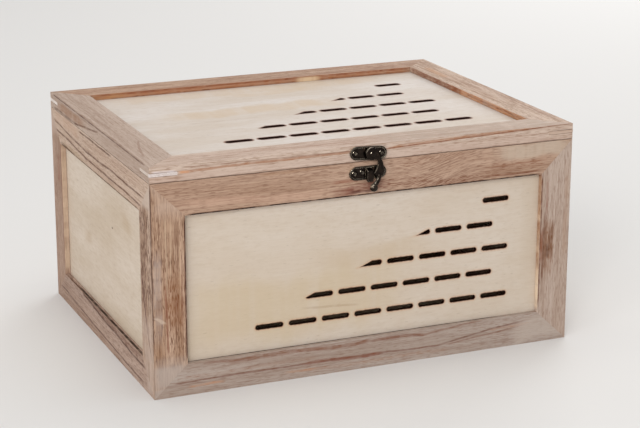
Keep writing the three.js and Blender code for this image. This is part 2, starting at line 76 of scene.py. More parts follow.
box_middle = Vector((0, 0, 0.087))
for lamp_name, lamp_place, lamp_side, lamp_power in (
    ("window_lamp", (-2.1, -1.85, 1.1), 2.0, 30),
    ("spark_lamp", (-1.4, -2.15, 1.5), 0.6, 16),
    ("overhead_lamp", (0.2, 0.1, 2.5), 1.8, 15),
    ("back_lamp", (1.8, 1.8, 1.2), 1.5, 20),
):
    lamp_data = bpy.data.lights.new(lamp_name, "AREA")
    lamp_data.shape = "SQUARE"
    lamp_data.size = lamp_side
    lamp_data.energy = lamp_power
    lamp = bpy.data.objects.new(lamp_name, lamp_data)
    lamp.location = lamp_place
    lamp.rotation_euler = (box_middle - Vector(lamp_place)).to_track_quat("-Z", "Y").to_euler()
    bpy.context.scene.collection.objects.link(lamp)

world = bpy.data.worlds.new("even_light")
bpy.context.scene.world = world
world.use_nodes = True
world.node_tree.nodes["Background"].inputs["Color"].default_value = paint(255, 253, 250)
world.node_tree.nodes["Background"].inputs["Strength"].default_value = 0.56

bpy.ops.object.select_all(action="DESELECT")
bpy.ops.mesh.primitive_plane_add(size=14, location=(0, 0, 0))
floor = bpy.context.object
floor.name = "floor"
floor_finish = bpy.data.materials.new("pale_floor")
floor_finish.use_nodes = True
floor_shader = floor_finish.node_tree.nodes["Principled BSDF"]
floor_shader.inputs["Base Color"].default_value = paint(226, 225, 224)
floor_shader.inputs["Roughness"].default_value = 0.8
floor.data.materials.append(floor_finish)


# The bottom board is a thin sheet of pale plywood that slides into a groove round the inside of the
# four sides before they are glued up.
def alone(piece):
    """Selects one object and nothing else."""
    bpy.ops.object.select_all(action="DESELECT")
    piece.select_set(True)
    bpy.context.view_layer.objects.active = piece


def choose(piece, kind, wanted):
    """In edit mode, selects the parts of a kind, VERT, EDGE or FACE, that a test accepts."""
    bpy.ops.mesh.select_mode(type=kind)
    bpy.ops.mesh.select_all(action="DESELECT")
    shape = bmesh.from_edit_mesh(piece.data)
    for part in {"VERT": shape.verts, "EDGE": shape.edges, "FACE": shape.faces}[kind]:
        part.select_set(wanted(part))
    bmesh.update_edit_mesh(piece.data)


def sharp(edge, least=math.radians(25)):
    """True where two faces meet at a clear angle."""
    return len(edge.link_faces) == 2 and edge.calc_face_angle(0) > least


def direction(edge):
    """The way that an edge runs."""
    return (edge.verts[0].co - edge.verts[1].co).normalized()


def square(edge):
    """True where the edge runs along X, Y or Z; a glued mitre is sanded flush and keeps no easing."""
    return max(abs(share) for share in direction(edge)) > 0.999


merge_reach = 1e-6


def cad_copy(node, name):
    """A piece shaped as a CAD node, merged and open in edit mode."""
    piece = bpy.data.objects.new(name, nodes[node].data.copy())
    bpy.context.scene.collection.objects.link(piece)
    alone(piece)
    bpy.ops.object.mode_set(mode="EDIT")
    bpy.ops.mesh.select_all(action="SELECT")
    bpy.ops.mesh.remove_doubles(threshold=merge_reach)
    return piece


def eased_copy(node, name, easing, closing=0.0):
    """A piece shaped as a CAD node, its long sharp arrises taken off with a few strokes of sandpaper
    and its mitred ends brought up to their neighbours' by a length along the piece."""
    piece = cad_copy(node, name)
    bpy.ops.mesh.dissolve_limited(angle_limit=math.radians(0.5))
    low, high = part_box(node)
    long_axis = max(range(3), key=lambda axis: high[axis] - low[axis])
    for way in (-1, 1):
        choose(piece, "FACE", lambda face: 0.5 < face.normal[long_axis] * way < 0.9)
        step = Vector((0, 0, 0))
        step[long_axis] = way * closing
        bpy.ops.transform.translate(value=step)
    least_length = 0.004
    choose(piece, "EDGE", lambda edge: sharp(edge) and square(edge) and edge.calc_length() > least_length)
    bpy.ops.mesh.bevel(offset=easing, segments=2, affect="EDGES", clamp_overlap=True)
    bpy.ops.mesh.select_all(action="SELECT")
    bpy.ops.mesh.normals_make_consistent(inside=False)
    bpy.ops.object.mode_set(mode="OBJECT")
    bpy.ops.object.shade_flat()
    return piece


def fit(piece, material, body, node):
    """The piece gets its one material, moves with a body, and stands for a node."""
    piece.data.materials.clear()
    piece.data.materials.append(material)
    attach(piece, body)
    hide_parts(node)


def add(tree, kind, inputs=None, **settings):
    """Adds a node; an input is a value, or an output of another node that it is linked to."""
    made = tree.nodes.new("ShaderNode" + kind)
    for name, value in settings.items():
        setattr(made, name, value)
    for key, value in (inputs or {}).items():
        if isinstance(value, bpy.types.NodeSocket):
            tree.links.new(value, made.inputs[key])
        else:
            made.inputs[key].default_value = value
    return made


def new_group(name, inputs, outputs):
    """A shader node group with sockets of the kinds named; gives the group, and its two end nodes."""
    tree = bpy.data.node_groups.new(name, "ShaderNodeTree")
    for way, sockets in (("INPUT", inputs), ("OUTPUT", outputs)):
        for kind, names in sockets.items():
            for socket in names:
                tree.interface.new_socket(socket, in_out=way, socket_type="NodeSocket" + kind)
    return tree, tree.nodes.new("NodeGroupInput"), tree.nodes.new("NodeGroupOutput")


def math_node(tree, operation, *values, clamp=False):
    """The result of a sum; each value is a number or an output."""
    return add(tree, "Math", dict(enumerate(values)), operation=operation, use_clamp=clamp).outputs[0]


def stretched_noise(tree, place, stretch, detail=2.0, roughness=0.5):
    """Noise whose grains are stretched: a larger number along an axis makes them shorter there."""
    scaled = add(tree, "VectorMath", {0: place, 1: stretch}, operation="MULTIPLY")
    noise = add(tree, "TexNoise", {
        "Vector": scaled.outputs[0], "Scale": 1.0, "Detail": detail, "Roughness": roughness})
    return noise.outputs["Fac"]


def map_range(tree, value, low, high, to_low=0.0, to_high=1.0):
    """Spreads a range over another, smoothly at both ends."""
    return add(tree, "MapRange", {
        "Value": value, "From Min": low, "From Max": high, "To Min": to_low, "To Max": to_high},
        interpolation_type="SMOOTHSTEP").outputs["Result"]


class Finish:
    """A material in the making, with its nodes and its colour so far."""

    def __init__(self, name, ground, specular):
        self.material = bpy.data.materials.new(name)
        self.material.use_nodes = True
        self.tree = self.material.node_tree
        self.shader = self.tree.nodes["Principled BSDF"]
        self.shader.inputs["Specular IOR Level"].default_value = specular
        self.colour = paint(*ground)
        self.add, self.sum, self.ramp = (partial(kind, self.tree) for kind in (add, math_node, map_range))
        coordinates = self.add("TexCoord").outputs
        self.place, self.normal = coordinates["Object"], coordinates["Normal"]
        self.axes = self.add("SeparateXYZ", {0: self.place}).outputs
        self.noise = partial(stretched_noise, self.tree, self.place)

    def feed(self, socket, value):
        """Links a value to a socket of the shader."""
        self.tree.links.new(value, self.shader.inputs[socket])

    def layer(self, share, tone):
        """Lays a tone over the colour so far, by a share."""
        mixed = self.add("Mix", {0: share, 6: self.colour, 7: paint(*tone)}, data_type="RGBA")
        self.colour = mixed.outputs[2]
        self.feed("Base Color", self.colour)

    def emboss(self, height, strength, distance):
        bump = self.add("Bump", {"Height": height, "Strength": strength, "Distance": distance})
        self.feed("Normal", bump.outputs["Normal"])


# Face veneer: X of Place runs along its grain, Y across it. Broad soft clouds, fine fibres and a few
# short dark pores.
veneer, veneer_in, veneer_out = new_group(
    "veneer", {"Vector": ["Place"]}, {"Float": ["Clouds", "Mottle", "Fibres", "Flecks"]})
veneer_noise = partial(stretched_noise, veneer, veneer_in.outputs["Place"])
veneer.links.new(veneer_noise((7, 26, 26), 3, 0.55), veneer_out.inputs["Clouds"])
veneer.links.new(veneer_noise((150, 420, 420), 3, 0.6), veneer_out.inputs["Mottle"])
veneer.links.new(veneer_noise((50, 900, 900), 3, 0.6), veneer_out.inputs["Fibres"])
veneer.links.new(
    map_range(veneer, veneer_noise((160, 1100, 1100), 1), 0.66, 0.78), veneer_out.inputs["Flecks"])

# One mark along the grain: a line or a soft zone from one point to another, bowed between them,
# wavering a little, broken up along its run and fading at both ends.
growth_and_painted_light_mark, mark_in, mark_out = new_group(
    "growth_and_painted_light_mark",
    {"Float": ["Along", "Across", "From", "To", "Start", "End",
               "Bow", "Half Width", "Fade", "Waver", "Seed"]},
    {"Float": ["Mask"]})
along, across, first, last, start, end, bow, half_width, fade, waver, seed = mark_in.outputs[:11]
mark_sum = partial(math_node, growth_and_painted_light_mark)


def noise_along(scale, shift):
    """Noise that changes only along the mark."""
    place = mark_sum("MULTIPLY_ADD", along, scale, mark_sum("MULTIPLY", seed, shift))
    return add(growth_and_painted_light_mark, "TexNoise", {"W": place, "Scale": 1.0}, noise_dimensions="1D").outputs[0]


past_start = mark_sum("SUBTRACT", along, first)
run_share = mark_sum("DIVIDE", past_start, mark_sum("SUBTRACT", last, first), clamp=True)
run_left = mark_sum("SUBTRACT", 1, run_share)
level = mark_sum("ADD", mark_sum("MULTIPLY", start, run_left), mark_sum("MULTIPLY", end, run_share))
swing = mark_sum("MULTIPLY", mark_sum("MULTIPLY", run_share, run_left), 4)
level = mark_sum("MULTIPLY_ADD", swing, bow, level)
level = mark_sum("MULTIPLY_ADD", mark_sum("SUBTRACT", noise_along(26, 7.3), 0.5), waver, level)
off_line = mark_sum("ABSOLUTE", mark_sum("SUBTRACT", across, level))
crossed = map_range(growth_and_painted_light_mark, off_line, mark_sum("MULTIPLY", half_width, 0.4), half_width, 1.0, 0.0)
to_end = mark_sum("MINIMUM", past_start, mark_sum("SUBTRACT", last, along))
faded = map_range(growth_and_painted_light_mark, to_end, 0.0, fade)
broken = map_range(growth_and_painted_light_mark, noise_along(80, 3.1), 0.32, 0.56, 0.62, 1.0)
growth_and_painted_light_mark.links.new(
    mark_sum("MULTIPLY", mark_sum("MULTIPLY", crossed, faded), broken), mark_out.inputs["Mask"])

grain_turns = {"X": (0, 0, 0), "Y": (0, 0, -math.pi / 2), "Z": (0, math.pi / 2, 0)}


class WoodFinish(Finish):
    """The finish of a wood, whose grain runs along an axis."""

    def __init__(self, name, ground, along):
        super().__init__(name, ground, specular=0.22)
        self.along = along
        self.facing = self.add("SeparateXYZ", {0: self.normal}).outputs
        self.dashes = 1.0
        self.marks_made = 0

    def figure(self, group, place, shift, settings):
        """The outputs of a grain group, laid along the grain; shift picks where in the wood."""
        laid = self.add("Mapping", {"Vector": place, "Rotation": grain_turns[self.along], "Location": shift})
        return self.add("Group", {"Place": laid.outputs["Vector"], **settings}, node_tree=group).outputs

    def marks(self, across, rows, wall=False):
        """Paints marks that lie across one axis: growth lines, soft zones and dark lines. A row says
        from where to where along the grain, start and end across it, half width, colour and strength,
        and where it needs to, how far the mark follows the short dashes of the grain, over what length
        it fades, its bow and its waver; lengths in metres. A line on an arris keeps to it, with no waver.
        Wall marks tint the whole face that stands across the axis, with the wall's own tone or with
        painted light that makes a lit inner wall paler; other marks keep off such faces."""
        for row in rows:
            self.mark(across, wall, *row)

    def mark(self, across, wall, first, last, start, end, half_width, tone, strength,
             dashed=0.25, fade=0.008, bow=0.0, waver=None):
        self.marks_made += 1
        mask = self.add("Group", {
            "Along": self.axes[self.along], "Across": self.axes[across],
            "From": first, "To": last, "Start": start, "End": end, "Bow": bow,
            "Half Width": half_width, "Fade": fade, "Seed": self.marks_made,
            "Waver": 0.0006 + half_width if waver is None else waver,
        }, node_tree=growth_and_painted_light_mark).outputs["Mask"]
        kept = self.sum("MULTIPLY_ADD", self.dashes, strength * dashed, strength * (1 - dashed))
        share = self.sum("MULTIPLY", mask, kept)
        if not wall:
            turned_away = self.sum("ABSOLUTE", self.facing[across])
            share = self.sum("MULTIPLY", share, self.ramp(turned_away, 0.9, 0.7))
        self.layer(share, tone)


def plywood(name, along, shift, pale, cloud, fibre):
    """Plywood faced with a pale veneer; its grain runs along X or Y, and shift picks the veneer."""
    sheet = WoodFinish(name, pale, along)
    figured = sheet.figure(veneer, sheet.place, shift, {})
    sheet.dashes = figured["Fibres"]
    sheet.layer(sheet.ramp(figured["Clouds"], 0.34, 0.68), cloud)
    sheet.layer(sheet.ramp(figured["Mottle"], 0.42, 0.75, 0.0, 0.35), fibre)
    sheet.layer(sheet.ramp(figured["Fibres"], 0.4, 0.75, 0.0, 0.3), fibre)
    sheet.layer(sheet.sum("MULTIPLY", figured["Flecks"], 0.3), (120, 98, 78))
    sheet.feed("Roughness", sheet.ramp(figured["Fibres"], 0.3, 0.7, 0.5, 0.66))
    sheet.emboss(sheet.sum("SUBTRACT", figured["Fibres"], figured["Flecks"]), 0.25, 0.0002)
    return sheet


sheet_easing = 0.0002
bottom_plywood = plywood(
    "bottom_plywood", "X", (0.3, 0.2, 0.7), (204, 187, 160), (192, 170, 140), (176, 152, 120))
fit(eased_copy("bottom_board", "bottom_sheet", sheet_easing),
    bottom_plywood.material, "box", "bottom_board")

# The plain panels of the left, right and back side: plywood sheets held loosely in grooves. The left
# one has two faint stains and a small knot.
for side, along, shift in (
    ("left", "Y", (0.2, 0.9, 0.1)),
    ("right", "Y", (1.7, 0.4, 0.6)),
    ("back", "X", (2.3, 0.1, 0.5)),
):
    panel_wood = plywood(
        f"{side}_plywood", along, shift, (212, 198, 183), (199, 182, 162), (184, 163, 139))
    if side == "left":
        panel_wood.marks("Z", (
            (-0.075, -0.04, 0.112, 0.113, 0.008, (182, 158, 130), 0.5, 0, 0.015),
            (0.03, 0.062, 0.073, 0.072, 0.007, (182, 158, 130), 0.5, 0, 0.015),
            (-0.023, -0.019, 0.099, 0.099, 0.0009, (96, 76, 62), 0.8, 0, 0.001),
        ))
    fit(eased_copy(f"{side}_panel", f"{side}_sheet", sheet_easing),
        panel_wood.material, "box", f"{side}_panel")


# The front panel is a plywood sheet with five rows of slots burnt through it by a laser, laid like
# bricks and cut off along a slanting line on the left; the cut edges are charred.
class SlotPattern:
    """Slots on a sheet: X along the rows, Y up from row to row, in metres in the sheet's plane."""
    rows = (8, 6, 5, 3, 1)
    bridge = 0.0049
    trim = 0.0003

    def __init__(self, left, right, bottom, top, height):
        self.left, self.right, self.bottom, self.top = left, right, bottom, top
        self.radius = height / 2
        self.pitch = (right - left + self.bridge) / self.rows[0]
        self.length = self.pitch - self.bridge
        self.rise = (top - bottom) / (len(self.rows) - 1)
        self.reach = self.length / 2 - self.radius
        self.slope = (top - bottom) / (right - self.length - left)

    def centres(self):
        """The middle of every slot."""
        for row, count in enumerate(self.rows):
            last = self.right - self.length / 2 - (row % 2) * self.pitch / 2
            for i in range(count):
                yield last - i * self.pitch, self.bottom + row * self.rise

    def cut_line(self):
        """A point on the slanting line and the direction away from the slots."""
        point = Vector((self.left, self.bottom + self.radius - self.trim, 0))
        return point, Vector((-self.slope, 1, 0)).normalized()


def settle():
    """Moves the selected object's place, turn and size into its mesh."""
    bpy.ops.object.transform_apply(location=True, rotation=True, scale=True)


def begin(primitive, name, scale=(1, 1, 1), **settings):
    """Adds a primitive with nothing else selected, at its place and size, and opens it in edit mode."""
    bpy.ops.object.select_all(action="DESELECT")
    primitive(**settings)
    piece = bpy.context.object
    piece.name = name
    piece.scale = scale
    settle()
    bpy.ops.object.mode_set(mode="EDIT")
    return piece


def round_bar(name, radius, thickness, middle, reach, sides):
    """A disc at a height, drawn out both ways along X to a bar with round ends, in edit mode."""
    bar = begin(
        bpy.ops.mesh.primitive_cylinder_add, name, vertices=sides, radius=radius, depth=thickness,
        location=(0, 0, middle), rotation=(0, 0, math.pi / sides))
    for way in (-1, 1):
        choose(bar, "VERT", lambda vertex: vertex.co.x * way > 0)
        bpy.ops.transform.translate(value=(way * reach, 0, 0))
    return bar


def slot_cutter(pattern, thickness):
    """All the slots as solid bars, standing across a sheet that lies at height 0."""
    point, away = pattern.cut_line()
    bars = []
    for x, y in pattern.centres():
        bars.append(round_bar("slot", pattern.radius, thickness, 0, pattern.reach, sides=40))
        bpy.ops.mesh.select_all(action="SELECT")
        bpy.ops.transform.translate(value=(x, y, 0))
        bpy.ops.mesh.bisect(plane_co=point, plane_no=away, use_fill=True, clear_outer=True)
        bpy.ops.object.mode_set(mode="OBJECT")
    alone(bars[0])
    for bar in bars:
        bar.select_set(True)
    bpy.ops.object.join()
    return bpy.context.object


def cut(piece, cutter, operation="DIFFERENCE"):
    """Cuts one object out of another, or joins it on, and removes the cutter."""
    alone(piece)
    modifier = piece.modifiers.new("cut", "BOOLEAN")
    modifier.operation = operation
    modifier.solver = "MANIFOLD"
    modifier.object = cutter
    bpy.ops.object.modifier_apply(modifier=modifier.name)
    bpy.data.objects.remove(cutter)


def place_by(piece, matrix):
    """Puts an object where it belongs and leaves its origin at the origin."""
    piece.matrix_world = matrix
    alone(piece)
    settle()


# How far a point of the sheet is from the nearest slot, in metres.
slot_distance, slot_in, slot_out = new_group(
    "slot_distance",
    {"Float": ["Along", "Up", "Right", "Bottom", "Pitch", "Rise", "Reach", "Radius", "Line Start", "Slope"]},
    {"Float": ["Distance"]})
along, up, right, bottom, pitch, rise, reach, radius, line_start, slope = slot_in.outputs[:10]
slot_sum = partial(math_node, slot_distance)
top_row, longest_row = len(SlotPattern.rows) - 1, SlotPattern.rows[0] - 1
rows_up = slot_sum("DIVIDE", slot_sum("SUBTRACT", up, bottom), rise)
row_number = slot_sum("MAXIMUM", slot_sum("MINIMUM", slot_sum("ROUND", rows_up), top_row), 0)
up_in_row = slot_sum("MULTIPLY", slot_sum("SUBTRACT", rows_up, row_number), rise)
half_step = slot_sum("MULTIPLY", slot_sum("MODULO", row_number, 2), 0.5)
row_right = slot_sum("SUBTRACT", right, slot_sum("MULTIPLY", half_step, pitch))
slots_along = slot_sum("DIVIDE", slot_sum("SUBTRACT", along, row_right), pitch)
missing = slot_sum("MULTIPLY", row_number, longest_row / top_row)
last_slot = slot_sum("ROUND", slot_sum("SUBTRACT", longest_row, missing))
slot_number = slot_sum("MAXIMUM", slot_sum("MINIMUM", slot_sum("ROUND", slots_along), 0),
                       slot_sum("MULTIPLY", last_slot, -1))
along_in_slot = slot_sum("MULTIPLY", slot_sum("SUBTRACT", slots_along, slot_number), pitch)
past_straight = slot_sum("SUBTRACT", slot_sum("ABSOLUTE", along_in_slot), reach)
past_straight = slot_sum("MAXIMUM", past_straight, 0)
to_axis = slot_sum("SQRT", slot_sum(
    "ADD", slot_sum("MULTIPLY", past_straight, past_straight), slot_sum("MULTIPLY", up_in_row, up_in_row)))
to_slot = slot_sum("SUBTRACT", to_axis, radius)
line_height = slot_sum("ADD", line_start, slot_sum("MULTIPLY", along, slope))
slope_length = slot_sum("SQRT", slot_sum("ADD", slot_sum("MULTIPLY", slope, slope), 1))
to_line = slot_sum("DIVIDE", slot_sum("SUBTRACT", up, line_height), slope_length)
slot_distance.links.new(slot_sum("MAXIMUM", to_slot, to_line), slot_out.inputs["Distance"])


def charred(sheet, up, pattern, reach):
    """Adds the laser's traces round the slots: black walls, a brown edge that fades out over the
    reach, in metres, and a faint halo."""
    line_point = pattern.cut_line()[0]
    near = sheet.add("Group", {
        "Along": sheet.axes["X"], "Up": sheet.axes[up],
        "Right": pattern.right - pattern.length / 2, "Bottom": pattern.bottom,
        "Pitch": pattern.pitch, "Rise": pattern.rise, "Reach": pattern.reach, "Radius": pattern.radius,
        "Line Start": line_point.y - pattern.slope * line_point.x, "Slope": pattern.slope,
    }, node_tree=slot_distance).outputs["Distance"]
    ragged = sheet.sum("SUBTRACT", sheet.noise((420, 420, 420), 3, 0.6), 0.5)
    frayed = sheet.sum("ADD", near, sheet.sum("MULTIPLY", ragged, 0.0012))
    sheet.layer(sheet.ramp(frayed, 0.0002, 0.0026, 0.42, 0.0), (196, 156, 118))
    sheet.layer(sheet.ramp(frayed, 0.0, reach, 0.95, 0.0), (96, 40, 16))
    sheet.layer(sheet.ramp(near, 0.00002, 0.00024, 1.0, 0.0), (34, 8, 1))


def block(name, middle, size):
    """A squared block in edit mode, ready to be shaped."""
    return begin(bpy.ops.mesh.primitive_cube_add, name, scale=size, size=1, location=middle)


def slotted_sheet(name, length, width, thickness, middle, pattern, stand):
    """A flat sheet, cut by the pattern, set up by a matrix. Its own front is at height 0."""
    sheet = block(name, (*middle, -thickness / 2), (length, width, thickness))
    choose(sheet, "EDGE", sharp)
    bpy.ops.mesh.bevel(offset=sheet_easing, segments=1, affect="EDGES")
    bpy.ops.object.mode_set(mode="OBJECT")
    cut(sheet, slot_cutter(pattern, 4 * thickness))
    place_by(sheet, stand)
    return sheet


front_slots = SlotPattern(left=-0.0896, right=0.118, bottom=0.0428, top=0.1195, height=0.0034)
front_low, front_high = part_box("front_panel")
front_stand = Matrix.Translation((0, front_low.y, 0)) @ Matrix.Rotation(math.pi / 2, 4, "X")
front_sheet = slotted_sheet(
    "front_sheet",
    front_high.x - front_low.x, front_high.z - front_low.z, front_high.y - front_low.y,
    (0, (front_low.z + front_high.z) / 2), front_slots, front_stand)
front_veneer = plywood(
    "front_plywood", "X", (0.6, 1.3, 0.2), (211, 199, 186), (205, 190, 173), (195, 177, 157))
front_veneer.marks("Z", (
    (-0.17, 0.05, 0.056, 0.058, 0.032, (198, 178, 146), 0.55, 0, 0.06),
    (-0.06, 0.06, 0.088, 0.09, 0.009, (196, 175, 148), 0.4, 0, 0.04),
    (-0.055, -0.005, 0.053, 0.05, 0.0012, (150, 116, 86), 0.5, 0.8),
    (0.105, 0.19, 0.085, 0.085, 0.07, (192, 173, 150), 0.5, 0, 0.045),
))
charred(front_veneer, "Z", front_slots, reach=0.0008)
fit(front_sheet, front_veneer.material, "box", "front_panel")


# Each side is framed by two rails and two stiles of solid paulownia, grooved for the panel, mitred
# and glued. The wood is pale and light, with clear growth rings and long brown vessel lines.
grain, grain_in, grain_out = new_group(
    "paulownia_grain", {"Vector": ["Place"], "Float": ["Ring Width", "Waver"]},
    {"Float": ["Rings", "Streaks", "Bands", "Fibres", "Dashes"]})
place, ring_width, waver_reach = grain_in.outputs[:3]
grain_sum = partial(math_node, grain)
grain_noise = partial(stretched_noise, grain, place)
across, deep = add(grain, "SeparateXYZ", {0: place}).outputs[1:]
from_pith = grain_sum(
    "SQRT", grain_sum("ADD", grain_sum("MULTIPLY", across, across), grain_sum("MULTIPLY", deep, deep)))
slow_waver = grain_sum("MULTIPLY", grain_sum("SUBTRACT", grain_noise((3.0, 14, 14), 1.5), 0.5), 2.0)
quick_waver = grain_sum("MULTIPLY", grain_sum("SUBTRACT", grain_noise((26, 110, 110)), 0.5), 0.4)
waver = grain_sum("MULTIPLY", grain_sum("ADD", slow_waver, quick_waver), waver_reach)
ring_phase = grain_sum("DIVIDE", grain_sum("ADD", from_pith, waver), ring_width)
ring_year = grain_sum("FLOOR", ring_phase)
ring_profile = add(grain, "ValToRGB", {"Fac": grain_sum("SUBTRACT", ring_phase, ring_year)})
ring_stops = ring_profile.color_ramp.elements
ring_stops[0].position, ring_stops[0].color = 0.0, (0, 0, 0, 1)
ring_stops[1].position, ring_stops[1].color = 1.0, (0, 0, 0, 1)
for position, value in ((0.45, 0.05), (0.72, 0.3), (0.88, 1.0), (0.95, 0.7)):
    ring_stops.new(position).color = (value, value, value, 1)
ring_strength = add(grain, "TexWhiteNoise", {"W": ring_year}, noise_dimensions="1D").outputs["Value"]
ring_strength = add(grain, "MapRange", {"Value": ring_strength, "To Min": 0.25, "To Max": 1.0}).outputs[0]
ring_breaks = map_range(grain, grain_noise((16, 240, 240), 2, 0.6), 0.3, 0.6, 0.3, 1.0)
ring_strength = grain_sum("MULTIPLY", ring_strength, ring_breaks)
grain.links.new(
    grain_sum("MULTIPLY", ring_profile.outputs["Color"], ring_strength), grain_out.inputs["Rings"])
grain.links.new(grain_noise((5.5, 110, 110), 3, 0.55), grain_out.inputs["Streaks"])
grain.links.new(grain_noise((9, 300, 300)), grain_out.inputs["Bands"])
grain.links.new(grain_noise((34, 900, 900), 2, 0.6), grain_out.inputs["Fibres"])
dashes = grain_noise((150, 1700, 1700), 1)
crowding = grain_sum("MULTIPLY", grain_sum("SUBTRACT", grain_noise((12, 90, 90)), 0.5), 0.25)
grain.links.new(map_range(grain, grain_sum("ADD", dashes, crowding), 0.53, 0.62), grain_out.inputs["Dashes"])


def paulownia(name, along, pith, ring_width, waver, pale, tan, brown,
              rings=0.6, dashes=0.6, fibres=0.55, curl=None):
    """Solid paulownia with its grain along X, Y or Z. Pith is where the middle of the trunk was, so
    the same rings show on all faces. A curl (from, to, rise) is a swell that the grain climbs over."""
    wood = WoodFinish(name, pale, along)
    place = wood.place
    if curl:
        start, end, rise = curl
        climb = wood.add("CombineXYZ", {"Z": wood.ramp(wood.axes[along], start, end, 0.0, -rise)})
        place = wood.add("VectorMath", {0: place, 1: climb.outputs[0]}, operation="ADD").outputs[0]
    figured = wood.figure(grain, place, pith, {"Ring Width": ring_width, "Waver": waver})
    wood.dashes = figured["Dashes"]
    wood.layer(wood.ramp(figured["Streaks"], 0.32, 0.68), tan)
    wood.layer(wood.ramp(figured["Bands"], 0.5, 0.72, 0.0, 0.2), brown)
    wood.layer(wood.ramp(figured["Fibres"], 0.5, 0.7, 0.0, fibres), brown)
    wood.layer(wood.ramp(figured["Fibres"], 0.5, 0.32, 0.0, fibres), pale)
    wood.layer(wood.sum("MULTIPLY", figured["Rings"], rings), brown)
    wood.layer(wood.sum("MULTIPLY", wood.dashes, dashes), brown)
    wood.feed("Roughness", wood.ramp(figured["Fibres"], 0.3, 0.7, 0.52, 0.72))
    raised = wood.sum("SUBTRACT", figured["Fibres"], wood.sum("MULTIPLY", wood.dashes, 0.6))
    raised = wood.sum("SUBTRACT", raised, wood.sum("MULTIPLY", figured["Rings"], 0.4))
    wood.emboss(raised, 0.35, 0.00025)
    return wood


arris_easing, mitre_closing = 0.0003, 0.00009


def member(wood, body="box", closing=mitre_closing, node=None):
    """A rail or a stile of one of the sides, a rail of the lid, or a key across a lid corner; its
    node is named as its wood, where nothing else is said."""
    node = node or wood.material.name
    fit(eased_copy(node, f"{node}_wood", arris_easing, closing), wood.material, body, node)


# The front's two rails and two stiles. The top rail has a curl right of the latch, and the left
# stile is the darkest board.
# Marks: from, to, start, end, half width, colour, strength, then dashed, fade, bow and waver.
front_top = paulownia(
    "front_top_rail", "X", (0.4, 0.03, -0.29), 0.0032, 0.004,
    (190, 160, 139), (170, 138, 116), (116, 79, 59),
    rings=0.45, dashes=0.5, fibres=0.45, curl=(0.03, 0.092, 0.012))
front_top.marks("Z", (
    (-0.09, -0.03, 0.16, 0.1605, 0.0011, (150, 112, 84), 0.7, 0.4),
    (-0.16, -0.02, 0.146, 0.1395, 0.004, (196, 160, 138), 0.5, 0, 0.03),
    (0.098, 0.19, 0.156, 0.157, 0.008, (194, 175, 157), 0.8, 0, 0.02),
    (0.0, 0.062, 0.1435, 0.1425, 0.0052, (118, 74, 52), 0.75, 0.75, 0.015),
    (0.04, 0.1, 0.1385, 0.139, 0.0036, (112, 66, 44), 0.8, 0.7, 0.015),
    (0.088, 0.152, 0.1445, 0.147, 0.0052, (136, 92, 68), 0.8, 0.75, 0.012),
    (0.096, 0.15, 0.1465, 0.1475, 0.0008, (138, 92, 66), 0.6, 0.25, 0.008, 0, 0.0006),
    (0.012, 0.09, 0.1555, 0.159, 0.0044, (132, 90, 66), 0.6, 0.8, 0.02, 0.001),
    (0.09, 0.146, 0.1395, 0.1395, 0.0012, (118, 70, 46), 0.85),
    (-0.034, -0.002, 0.1472, 0.1482, 0.0018, (138, 80, 60), 0.7, 0.4),
    (-0.036, 0.02, 0.1405, 0.142, 0.0046, (112, 52, 38), 0.92, 0.3, 0.022),
    (-0.02, 0.008, 0.1392, 0.1394, 0.0014, (78, 32, 26), 0.9, 0.2),
    (-0.145, 0.144, 0.1364, 0.1364, 0.0011, (50, 30, 23), 1.0, 0, 0.008, 0, 0.0003),
))
member(front_top)

front_bottom = paulownia(
    "front_bottom_rail", "X", (0.9, 0.19, 0.03), 0.0045, 0.009,
    (177, 162, 152), (163, 145, 133), (126, 94, 76), rings=0.25, dashes=0.4, fibres=0.4)
front_bottom.marks("Z", (
    (-0.157, 0.064, 0.0102, 0.0092, 0.001, (116, 74, 58), 0.85, 0.25, 0.008, 0.001),
    (-0.056, 0.014, 0.0104, 0.0104, 0.002, (124, 68, 48), 0.85, 0.4),
    (0.056, 0.138, 0.0092, 0.0197, 0.001, (112, 72, 56), 0.85, 0.25, 0.008, 0.0006),
    (-0.134, -0.09, 0.0228, 0.022, 0.0012, (126, 84, 66), 0.8, 0.3),
    (-0.15, -0.04, 0.0136, 0.0146, 0.0018, (148, 112, 92), 0.55, 0.6),
    (-0.06, 0.07, 0.0048, 0.0056, 0.0016, (158, 118, 94), 0.55, 0.6),
    (0.062, 0.137, 0.0088, 0.0162, 0.0008, (128, 86, 68), 0.7, 0.25, 0.008, -0.0004),
    (-0.116, -0.056, 0.0212, 0.0222, 0.0026, (128, 88, 68), 0.85, 0.35),
    (-0.064, 0.004, 0.0226, 0.0216, 0.002, (126, 82, 60), 0.9, 0.25, 0.008, -0.0018),
    (0.0, 0.05, 0.0214, 0.0192, 0.0016, (122, 76, 56), 0.9, 0.25, 0.008, 0.0012),
    (0.04, 0.102, 0.0194, 0.0254, 0.0012, (128, 88, 68), 0.75, 0.3),
    (-0.146, -0.114, 0.0062, 0.0066, 0.0012, (186, 128, 88), 0.8, 0.4),
    (-0.07, -0.04, 0.0058, 0.006, 0.0012, (178, 124, 88), 0.75, 0.4),
    (0.1, 0.142, 0.0152, 0.0172, 0.0011, (170, 120, 90), 0.6, 0.5),
    (0.118, 0.18, 0.011, 0.012, 0.013, (186, 171, 160), 0.7, 0, 0.012),
))
# A dark line along the back of the rail's ledge, where it meets the panel.
front_bottom.marks("Y", (
    (-0.15, 0.118, -0.1259, -0.1259, 0.0013, (48, 28, 20), 1.0, 0, 0.02, 0, 0.0003),
))
member(front_bottom)

